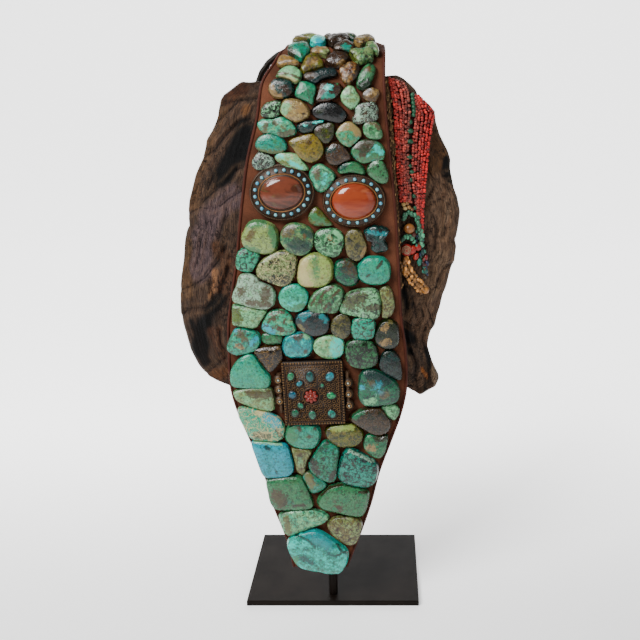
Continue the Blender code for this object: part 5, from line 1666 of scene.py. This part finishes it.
class HEADDRESS_OT_tassel(bpy.types.Operator):
    """Makes the mixed beads that hang below the coral panel"""

    bl_idname = "headdress.tassel"
    bl_label = "Tassel"

    def execute(self, context):
        sizes = context.scene.headdress_tassel
        form = tinted_form()
        depth = flap_depth(1)

        def proud(point):
            return depth(point) - TASSEL_LIFT

        for u, v, wide, high, tilt, tone in TASSEL_BEADS:
            centre = photo_point(u, v, proud)
            turn = Matrix.Rotation(math.radians(-tilt), 4, "Y")
            size = (wide * 1.08 * MM, min(wide, high) * MM, high * 1.08 * MM)
            add_bead(form, centre, size, tone, turn, 12, 8)
        for number in range(CHAIN_BEADS):
            away = noise.noise_vector(Vector((number * 3.7, 1.9, 8.3)))
            spot = along_line(CHAIN, number / (CHAIN_BEADS - 1))
            across = (-3.2, 0, 3.2)[number % 3]
            centre = photo_point(spot.x + across + 2 * away.x, spot.y - 0.7 * across + 2 * away.y, proud)
            centre.y -= (1.2 - abs(across) * 0.5 + away.z) * MM
            tone = Vector(shown(sizes.chain)) * (1 + 0.9 * away.z)
            size = [sizes.chain_bead + 1.6 * each * MM for each in away]
            add_bead(form, centre, size, tone, sides=10, rings=7)
        for number in range(DROP_BEADS):
            away = noise.noise_vector(Vector((number * 2.9, 7.3, 1.1)))
            spot = along_line(DROPS, number / (DROP_BEADS - 1))
            centre = photo_point(spot.x + 9 * away.x, spot.y + 4 * away.y, proud)
            centre.y += 3 * away.z * MM
            lie = Matrix.Rotation(2 * away.y, 4, "Y")
            add_bead(form, centre, (2.4 * MM, 2.4 * MM, 4 * MM), DROP_TONES[number % 5], lie, 8, 6)
        for radius, places in TASSEL_LOOPS:
            for step in range(26):
                away = noise.noise_vector(Vector((step * 1.9, radius, 3.3)))
                spot = along_line(places, step / 25)
                centre = photo_point(spot.x + 2 * away.x, spot.y + 2 * away.y, proud)
                tone = Vector(shown(sizes.loops)) * (1 + 0.8 * away.z)
                add_bead(form, centre, [(2 + each) * radius * MM for each in away], tone)
        disc = photo_point(*DISC_PLACE, proud)
        add_bead(form, disc, DISC_SIZE, shown(sizes.disc), None, 20, 8)
        spiral = []
        for step in range(SPIRAL_STEPS):
            share = step / (SPIRAL_STEPS - 1)
            turn = share * SPIRAL_TURNS * math.tau
            reach = (0.8 + 3.9 * share) * MM
            away = Vector((reach * math.cos(turn), reach * 0.12 - 2.3 * MM, reach * math.sin(turn)))
            spiral.append(disc + away)
        add_tube(form, spiral, 0.5 * MM, (176, 156, 128), 6)
        finished("tassel_beads", form, bead_finish("tassel_bead", 0.3, 0.2), "tassel_beads", "bead_tassel")
        return {"FINISHED"}


def oval_rings(width, height, rings, segments=56):
    """A closed body through ovals, given as (how far in from the edge, height)."""
    form = tinted_form()
    bmesh.ops.create_circle(form, cap_ends=True, segments=segments, radius=0.5)
    face = form.faces[:][0]
    size = (1, 1)
    for number, (inset, rise) in enumerate(rings):
        if number:
            made = bmesh.ops.extrude_face_region(form, geom=[face])["geom"]
            face = next(item for item in made if isinstance(item, bmesh.types.BMFace))
        ring = (width - 2 * inset, height - 2 * inset)
        bmesh.ops.scale(form, vec=(ring[0] / size[0], ring[1] / size[1], 1), verts=face.verts[:])
        for vert in face.verts:
            vert.co.z = rise
        size = ring
    bmesh.ops.recalc_face_normals(form, faces=form.faces[:])
    return form


def ring_points(centre, across, up, steps):
    """The points of a closed oval ring that lies flat, the first one again at the end."""
    return [
        centre + Vector((across * math.cos(turn), up * math.sin(turn), 0))
        for turn in (math.tau * step / steps for step in range(steps + 1))
    ]


class HEADDRESS_OT_cabochons(bpy.types.Operator):
    """Makes the two polished ovals in their bronze settings"""

    bl_idname = "headdress.cabochons"
    bl_label = "Cabochons"

    def execute(self, context):
        sizes = context.scene.headdress_cabochons
        bronze = bronze_finish()
        agate = agate_finish("brown_agate", sizes.agate, sizes.agate_band, AGATE_STREAK, 0.15)
        carnelian = agate_finish(
            "carnelian", sizes.carnelian, sizes.carnelian_band, CARNELIAN_STREAK, 0.2
        )
        dots = bead_finish("dot_bead", 0.25, 0.4)
        for cabochon, stone_material, count in zip(CABOCHONS, (agate, carnelian), SETTING_DOTS):
            side, across, up, width, height, stone_width, stone_height, tilt = cabochon
            width, height, stone_width, stone_height = (
                value * MM for value in (width, height, stone_width, stone_height)
            )
            place = strap_place(across * MM, up * MM) @ Matrix.Rotation(math.radians(tilt), 4, "Z")
            rim = (width - stone_width) / 2
            top = SETTING_HEIGHT
            form = oval_rings(width, height, (
                (0.4 * MM, 0.3 * MM), (0, 1.2 * MM), (0, top - 3.4 * MM), (1.2 * MM, top - 2.2 * MM),
                (1.8 * MM, top - 2.2 * MM), (2.6 * MM, top - 1.4 * MM), (rim - 2.4 * MM, top - 0.9 * MM),
                (rim - 2 * MM, top + 0.4 * MM), (rim - 0.4 * MM, top + 0.6 * MM), (rim, top - 0.6 * MM),
                (rim, 3 * MM),
            ))
            tint(form, form.verts[:], shown(sizes.setting))
            grains = ring_points(
                Vector((0, 0, top - 1.9 * MM)), width / 2 - 1.3 * MM, height / 2 - 1.3 * MM, SETTING_GRAINS
            )
            for spot in grains[:-1]:
                add_bead(form, spot, (1.5 * MM,) * 3, shown(sizes.grain), sides=6, rings=4)
            wire = ring_points(
                Vector((0, 0, top + 0.5 * MM)), width / 2 - rim + 1.3 * MM, height / 2 - rim + 1.3 * MM, 72
            )
            add_tube(form, wire, 0.55 * MM, shown(sizes.wire), 6)
            form.transform(place)
            finished(f"setting_{side}", form, bronze, "setting_bronze", f"cabochon_setting_{side}")
            form = tinted_form()
            middle = (width / 2 - rim / 2 - 0.2 * MM, height / 2 - rim / 2 - 0.2 * MM)
            for number in range(count):
                turn = math.tau * (number + 0.5) / count
                centre = Vector((middle[0] * math.cos(turn), middle[1] * math.sin(turn), top - 0.6 * MM))
                light = noise.noise(Vector((number * 1.3, across, 0.5)))
                tone = (140 + 30 * light, 200 + 16 * light, 212)
                size = (sizes.dot_width, sizes.dot_width, 0.8 * sizes.dot_width)
                add_bead(form, centre, size, tone, sides=12, rings=8)
            form.transform(place)
            finished(f"setting_dots_{side}", form, dots, "turquoise")
            form = oval_rings(stone_width, stone_height, [(0, 3.2 * MM)] + [
                (stone_width / 2 * (1 - math.cos(math.radians(angle))) * 0.97,
                 top + (11 * MM - top) * math.sin(math.radians(angle)))
                for angle in (0, 12, 24, 36, 48, 58, 66)
            ])
            form.transform(place)
            slot = "agate_brown" if side == "left" else "carnelian_orange"
            finished(f"polished_{side}", form, stone_material, slot, f"cabochon_{side}")
        return {"FINISHED"}


class HEADDRESS_OT_amulet_box(bpy.types.Operator):
    """Makes the square amulet box with its filigree, drops, coral flower and hinges"""

    bl_idname = "headdress.amulet_box"
    bl_label = "Amulet box"

    def execute(self, context):
        sizes = context.scene.headdress_box
        bronze = bronze_finish()
        place = strap_place(BOX_ACROSS, BOX_UP) @ Matrix.Rotation(BOX_TILT, 4, "Z")
        face = BOX_DEPTH - 1.5 * MM
        form = tinted_form()
        box = Matrix.Translation((0, 0, (face + 0.3 * MM) / 2))
        size = Matrix.Diagonal((BOX_WIDTH, BOX_HEIGHT, face - 0.3 * MM, 1))
        bmesh.ops.create_cube(form, size=1, matrix=box @ size)
        upright = [edge for edge in form.edges if abs(edge.verts[0].co.z - edge.verts[1].co.z) > MM]
        bmesh.ops.bevel(
            form, geom=upright, affect="EDGES", offset=2.4 * MM, segments=4, profile=0.5, material=-1
        )
        base = [each for each in form.faces if each.normal.z < -0.9]
        bmesh.ops.inset_region(form, faces=base, thickness=1.2 * MM, use_even_offset=True)
        bmesh.ops.translate(form, verts=base[0].verts[:], vec=(0, 0, face - 2.4 * MM))
        tint(form, form.verts[:], shown(sizes.body))
        self.add_border(form, face)
        self.add_filigree(form, face, sizes)
        form.transform(place)
        finished("box_filigree", form, bronze, "box_bronze", "amulet_box")
        self.add_drops(place, face, bronze, sizes)
        self.add_flower(place, face, sizes)
        pale = bead_finish("pale_bead", 0.3, 0.3)
        self.add_hinge("left", -1, place, (14.4, 3.5, -8.5), bronze, pale, sizes)
        self.add_hinge("right", 1, place, (8.8, -3.3, -15.6), bronze, pale, sizes)
        return {"FINISHED"}

    def face_corners(self, inset):
        """The corners of a rectangle on the face, the first one again at the end."""
        across, up = BOX_WIDTH / 2 - inset, BOX_HEIGHT / 2 - inset
        corners = ((-across, -up), (across, -up), (across, up), (-across, up), (-across, -up))
        return [Vector(corner) for corner in corners]

    def add_border(self, form, face):
        """Two rows of grains with a raised wire between them, round the face."""
        for inset, size, tone in BORDER_GRAINS:
            corners = self.face_corners(inset)
            for start, end in zip(corners, corners[1:]):
                way = end - start
                count = round(way.length / (size * 1.3))
                for step in range(count):
                    spot = (start + way * step / count).to_3d()
                    spot.z = face + 0.2 * MM
                    add_bead(form, spot, (size,) * 3, tone, sides=6, rings=4)
        wire = [Vector((corner.x, corner.y, face)) for corner in self.face_corners(BORDER_WIRE_INSET)]
        add_tube(form, wire, 0.6 * MM, (96, 74, 50), 6)

    def add_filigree(self, form, face, sizes):
        """Small wire rings and grains over the face, and a wire round the flower."""
        number = 0
        for row in range(FILIGREE_ROWS):
            for column in range(FILIGREE_COLUMNS):
                number += 1
                away = noise.noise_vector(Vector((number, 1, 0.5))) * MM
                x = (column - (FILIGREE_COLUMNS - 1) / 2) * 4.5 * MM + away.x
                y = (row - (FILIGREE_ROWS - 1) / 2) * 4.6 * MM + away.y
                if math.hypot(x - FLOWER_ACROSS, y - FLOWER_UP) < 10 * MM:
                    continue
                ring = ring_points(Vector((x, y, face + 0.2 * MM)), 1.5 * MM, 1.5 * MM, 12)
                add_tube(form, ring, sizes.wire_radius, shown(sizes.wire), 4)
                spot = Vector((x + 2.2 * MM, y + 2.2 * MM, face))
                add_bead(form, spot, (1.3 * MM,) * 3, (124, 98, 66), sides=6, rings=4)
        middle = Vector((FLOWER_ACROSS, FLOWER_UP, face + 0.3 * MM))
        add_tube(form, ring_points(middle, 8.6 * MM, 8.6 * MM, 32), 0.8 * MM, (112, 84, 54), 6)

    def add_drops(self, place, face, bronze, sizes):
        """Turquoise drops in bronze bezels, in a ring round the flower."""
        bezels = tinted_form()
        form = tinted_form()
        for across, up, wide, high, tilt, tone in BOX_DROPS:
            turn = Matrix.Rotation(math.radians(tilt), 4, "Z")
            centre = Vector((across * MM, up * MM, face + 0.8 * MM))
            add_bead(form, centre, (wide * MM, high * MM, 3 * MM), tone, turn, 24, 14)
            rim = ring_points(
                Vector((0, 0, -0.2 * MM)), (wide / 2 + 0.2) * MM, (high / 2 + 0.2) * MM, 16
            )
            add_tube(bezels, [centre + turn @ spot for spot in rim], 0.9 * MM, shown(sizes.bezel))
        tints = form.verts.layers.float_color["tint"]
        for vert in form.verts:
            vert[tints] = vert[tints] * (0.8 + 1.3 * noise.noise(vert.co / (1.7 * MM)))
        for each in (form, bezels):
            each.transform(place)
        finished("box_drops", form, bead_finish("drop_stone", 0.3, 0.3), "turquoise")
        finished("box_bezels", bezels, bronze, "box_bronze")

    def add_flower(self, place, face, sizes):
        """A red coral flower with a bronze grain in its middle."""
        form = tinted_form()
        middle = Vector((FLOWER_ACROSS, FLOWER_UP, face + 1.6 * MM))
        for petal, spot in enumerate(ring_points(middle, 4.4 * MM, 4.4 * MM, PETALS)[:-1]):
            lie = Matrix.Rotation(math.tau * petal / PETALS, 4, "Z")
            add_bead(form, spot, (6 * MM, 4.2 * MM, 4.4 * MM), shown(sizes.coral), lie, 10, 8)
        heart = middle + Vector((0, 0, 0.8 * MM))
        add_bead(form, heart, (5.5 * MM, 5.5 * MM, 4.4 * MM), (160, 60, 36), None, 12, 8)
        grain = middle + Vector((0, 0, 2.8 * MM))
        add_bead(form, grain, (1.6 * MM,) * 3, (120, 90, 56))
        form.transform(place)
        finished("coral_flower", form, bead_finish("flower_coral", 0.35, 0.3), "coral", "amulet_coral")

    def add_hinge(self, name, side, place, knobs, bronze, pale_material, sizes):
        """A tube along the box's side with knobs, each with a pale bead in it."""
        out = side * (BOX_WIDTH / 2 + HINGE_KNOB / 2 + 0.3 * MM)
        lie = place @ Matrix.Translation((out, 0, HINGE_KNOB / 2 + 0.3 * MM))
        form = tinted_form()
        ends = [Vector((0, -HINGE_REACH, 0)), Vector((0, HINGE_REACH, 0))]
        add_tube(form, ends, 2 * MM, (124, 98, 70), 12)
        pale = tinted_form()
        for up in knobs:
            knob = Vector((side * 0.8, up, 0)) * MM
            dark = knob + Vector((0, 0, 2.4 * MM))
            ring = ring_points(knob + Vector((0, 0, 3.4 * MM)), 2.5 * MM, 2.5 * MM, 12)
            add_bead(form, knob, (11 * MM, 10.8 * MM, 8 * MM), shown(sizes.knob), None, 16, 10)
            # A dark bead in each knob: painted shade for the hole that the pale bead sits in
            add_bead(form, dark, (4.6 * MM, 4.6 * MM, 3.2 * MM), (34, 26, 20), None, 12, 8)
            add_tube(form, ring, 0.6 * MM, (168, 138, 96), 6)
            add_bead(pale, knob + Vector((0, 0, 3.6 * MM)), (2.3 * MM,) * 3, (196, 206, 196))
        for end in (-20.5 * MM, 20.5 * MM):
            for step in range(10):
                turn = math.tau * step / 10
                spot = Vector((2.3 * MM * math.cos(turn), end, 2.3 * MM * math.sin(turn)))
                add_bead(form, spot, (1.2 * MM,) * 3, (112, 84, 54), sides=6, rings=4)
        for each in (form, pale):
            each.transform(lie)
        finished(f"hinge_{name}", form, bronze, "box_bronze", f"amulet_hinge_{name}")
        finished(f"hinge_beads_{name}", pale, pale_material, "tassel_beads")


class HEADDRESS_OT_stand(bpy.types.Operator):
    """Gives the stand its satin steel"""

    bl_idname = "headdress.stand"
    bl_label = "Stand"

    def execute(self, context):
        material = steel_finish(context.scene.headdress_stand)
        for name in ("base_plate", "post", "cradle"):
            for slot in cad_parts[name].material_slots:
                slot.material = material
        return {"FINISHED"}


def stone_finish():
    finish = Finish("turquoise_stone", roughness=0.25, specular_ior_level=0.5)
    grain = finish.attribute("grain").outputs["Vector"]
    swirl = finish.cloud(grain, 2.4, 5, 0.62, 0.9)
    drift = finish.cloud(grain, 1.1, 3, 0.55, 0.5)
    second = (swirl * 0.6 + drift * 0.4 + finish.number("second_share") * 0.42).ease(0.62, 0.72)
    tone = finish.mix(second * 0.85, finish.colour("main_tint"), finish.colour("second_tint"))
    mottle = finish.cloud(grain, 6, 5, 0.7)
    tone = finish.mix(mottle.ease(0.46, 0.7) * 0.75, tone, shade(235, 240, 215), "SOFT_LIGHT")
    dark = finish.cloud(grain, 4.2, 6, 0.75, 0.5).ease(0.48, 0.64)
    tone = finish.mix(dark * 0.85, tone, shade(112, 104, 80), "MULTIPLY")
    patch = (finish.number("patch") + (swirl - 0.5) * 1.2 + (mottle - 0.5) * 1.5).ease(0.42, 0.62)
    tone = finish.mix(patch * 0.85, tone, finish.colour("patch_tint"))
    bent = finish.mix(0.22, grain, finish.node(
        "ShaderNodeTexNoise", {}, {"Vector": grain, "Scale": 3.5, "Detail": 3.0}).outputs["Color"])
    web = finish.cells(bent, 2.1, "DISTANCE_TO_EDGE")
    veins = (1 - web.ease(0.02, 0.14)) * finish.cloud(grain, 2.6, 3).ease(0.42, 0.56)
    veins = veins * (finish.number("vein_share") * 2 + 0.25)
    dots = finish.cloud(grain, 10, 3, 0.7).ease(0.54, 0.62) * finish.cloud(grain, 2.1, 3).ease(0.32, 0.6)
    specks = dots * (finish.number("speck_share") * 1.4 + 0.2)
    matrix = (veins + specks).clear()
    tone = finish.mix(matrix * 0.95, tone, finish.colour("matrix_tint"))
    # Dirt and painted shade at the stone's foot, where it meets the strap
    foot = finish.number("foot")
    tone = finish.mix(foot * 0.85, tone, shade(56, 40, 30), "MULTIPLY")
    fine = finish.cloud(grain, 14, 3, 0.6)
    rough = 0.14 + matrix * 0.25 + foot * 0.3 + mottle * 0.16
    height = mottle * 0.8 - matrix * 0.25 + swirl * 1.6 + fine * 0.08
    finish.bump(height, 0.5, 0.6 * MM)
    return finish.paint(base_color=tone, roughness=rough)


class HEADDRESS_OT_stones(bpy.types.Operator):
    """Makes every stone on the front, the crest and the back"""

    bl_idname = "headdress.stones"
    bl_label = "Stones"

    def execute(self, context):
        sizes = context.scene.headdress_stones
        material = stone_finish()
        groups = {
            name: [(stone, stone_corners(stone)) for stone in stones] for name, stones in STONES.items()
        }
        groups["back_stones"] = back_stones()
        number = 0
        for name, stones in groups.items():
            form = bmesh.new()
            for stone, corners in stones:
                number += 1
                pour(form, stone_form(stone, corners, number, sizes))
            finished("worn_" + name, form, material, "turquoise", name)
        return {"FINISHED"}


class HEADDRESS_OT_stage(bpy.types.Operator):
    """Makes the floor, the lights and the camera"""

    bl_idname = "headdress.stage"
    bl_label = "Stage"

    def execute(self, context):
        stage = context.scene.headdress_stage
        form = bmesh.new()
        bmesh.ops.create_grid(form, x_segments=1, y_segments=1, size=FLOOR_REACH)
        far = [edge for edge in form.edges if all(vert.co.y > 0 for vert in edge.verts)]
        made = bmesh.ops.extrude_edge_only(form, edges=far)["geom"]
        raised = [item for item in made if isinstance(item, bmesh.types.BMVert)]
        bmesh.ops.translate(form, verts=raised, vec=(0, 0, BACKDROP_HEIGHT))
        corner = [
            edge for edge in form.edges
            if all(vert.co.y > 0 and vert.co.z < BACKDROP_HEIGHT / 2 for vert in edge.verts)
        ]
        bmesh.ops.bevel(
            form, geom=corner, affect="EDGES", offset=BACKDROP_CURVE, segments=16, profile=0.5,
            material=-1,
        )
        mesh = bpy.data.meshes.new("floor")
        form.to_mesh(mesh)
        form.free()
        mesh.shade_smooth()
        finish = Finish("floor", roughness=0.9, emission_strength=stage.floor_glow)
        axes = finish.node("ShaderNodeSeparateXYZ", {}, {"Vector": finish.place()})
        behind = Level(finish, axes.outputs["Y"]).ease(-0.2, 0.5)
        glow = finish.mix(behind, (0.12, 0.12, 0.12), (1, 1, 1))
        mesh.materials.append(finish.paint(base_color=tuple(stage.floor), emission_color=glow))
        floor = bpy.data.objects.new("floor", mesh)
        context.scene.collection.objects.link(floor)
        self.add_light("key", KEY_PLACE, stage.key_power, KEY_SIZE)
        self.add_light("fill", FILL_PLACE, stage.fill_power, FILL_SIZE)
        world = bpy.data.worlds.new("studio")
        world.use_nodes = True
        backdrop = world.node_tree.nodes["Background"]
        backdrop.inputs["Color"].default_value = (1, 0.97, 0.93, 1)
        backdrop.inputs["Strength"].default_value = stage.sky_strength
        context.scene.world = world
        camera_data = bpy.data.cameras.new("camera")
        camera_data.lens = CAMERA_LENS
        camera_data.sensor_width = CAMERA_SENSOR
        camera_data.shift_x = CAMERA_SHIFT
        camera = bpy.data.objects.new("camera", camera_data)
        camera.location = CAMERA_PLACE
        camera.rotation_euler = (math.pi / 2 - CAMERA_PITCH, 0, 0)
        context.scene.collection.objects.link(camera)
        context.scene.camera = camera
        return {"FINISHED"}

    def add_light(self, name, place, power, size):
        data = bpy.data.lights.new(name, "AREA")
        data.energy = power
        data.size = size
        lamp = bpy.data.objects.new(name, data)
        lamp.location = place
        aim = LIGHTS_AIM - Vector(place)
        lamp.rotation_euler = aim.to_track_quat("-Z", "Y").to_euler()
        bpy.context.scene.collection.objects.link(lamp)


SETTINGS = {
    "headdress_stand": StandSettings, "headdress_strap": StrapSettings, "headdress_flaps": FlapSettings,
    "headdress_panel": PanelSettings, "headdress_tassel": TasselSettings,
    "headdress_cabochons": CabochonSettings, "headdress_box": BoxSettings,
    "headdress_stones": StoneSettings, "headdress_stage": StageSettings,
}
OPERATORS = (
    HEADDRESS_OT_stones, HEADDRESS_OT_ear_flaps, HEADDRESS_OT_strap, HEADDRESS_OT_coral_panel,
    HEADDRESS_OT_tassel, HEADDRESS_OT_cabochons, HEADDRESS_OT_amulet_box, HEADDRESS_OT_stand,
    HEADDRESS_OT_stage,
)


class HEADDRESS_PT_pieces(bpy.types.Panel):
    """Lists the operators and what they can be told"""

    bl_label = "Headdress"
    bl_space_type = "VIEW_3D"
    bl_region_type = "UI"
    bl_category = "Headdress"

    def draw(self, context):
        for operator in OPERATORS:
            self.layout.operator(operator.bl_idname)
        for name, group in SETTINGS.items():
            settings = getattr(context.scene, name)
            for key in group.__annotations__:
                self.layout.prop(settings, key)


def register():
    for group in SETTINGS.values():
        bpy.utils.register_class(group)
    for name, group in SETTINGS.items():
        setattr(bpy.types.Scene, name, PointerProperty(type=group))
    for each in OPERATORS + (HEADDRESS_PT_pieces,):
        bpy.utils.register_class(each)


def unregister():
    for each in reversed(OPERATORS + (HEADDRESS_PT_pieces,)):
        bpy.utils.unregister_class(each)
    for name, group in SETTINGS.items():
        delattr(bpy.types.Scene, name)
        bpy.utils.unregister_class(group)


def main():
    register()
    noise.seed_set(NOISE_SEED)
    bpy.ops.headdress.stand()
    bpy.ops.headdress.strap()
    bpy.ops.headdress.ear_flaps()
    bpy.ops.headdress.coral_panel()
    bpy.ops.headdress.tassel()
    bpy.ops.headdress.cabochons()
    bpy.ops.headdress.amulet_box()
    bpy.ops.headdress.stones()
    bpy.ops.headdress.stage()
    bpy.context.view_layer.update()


if __name__ == "__main__":
    main()
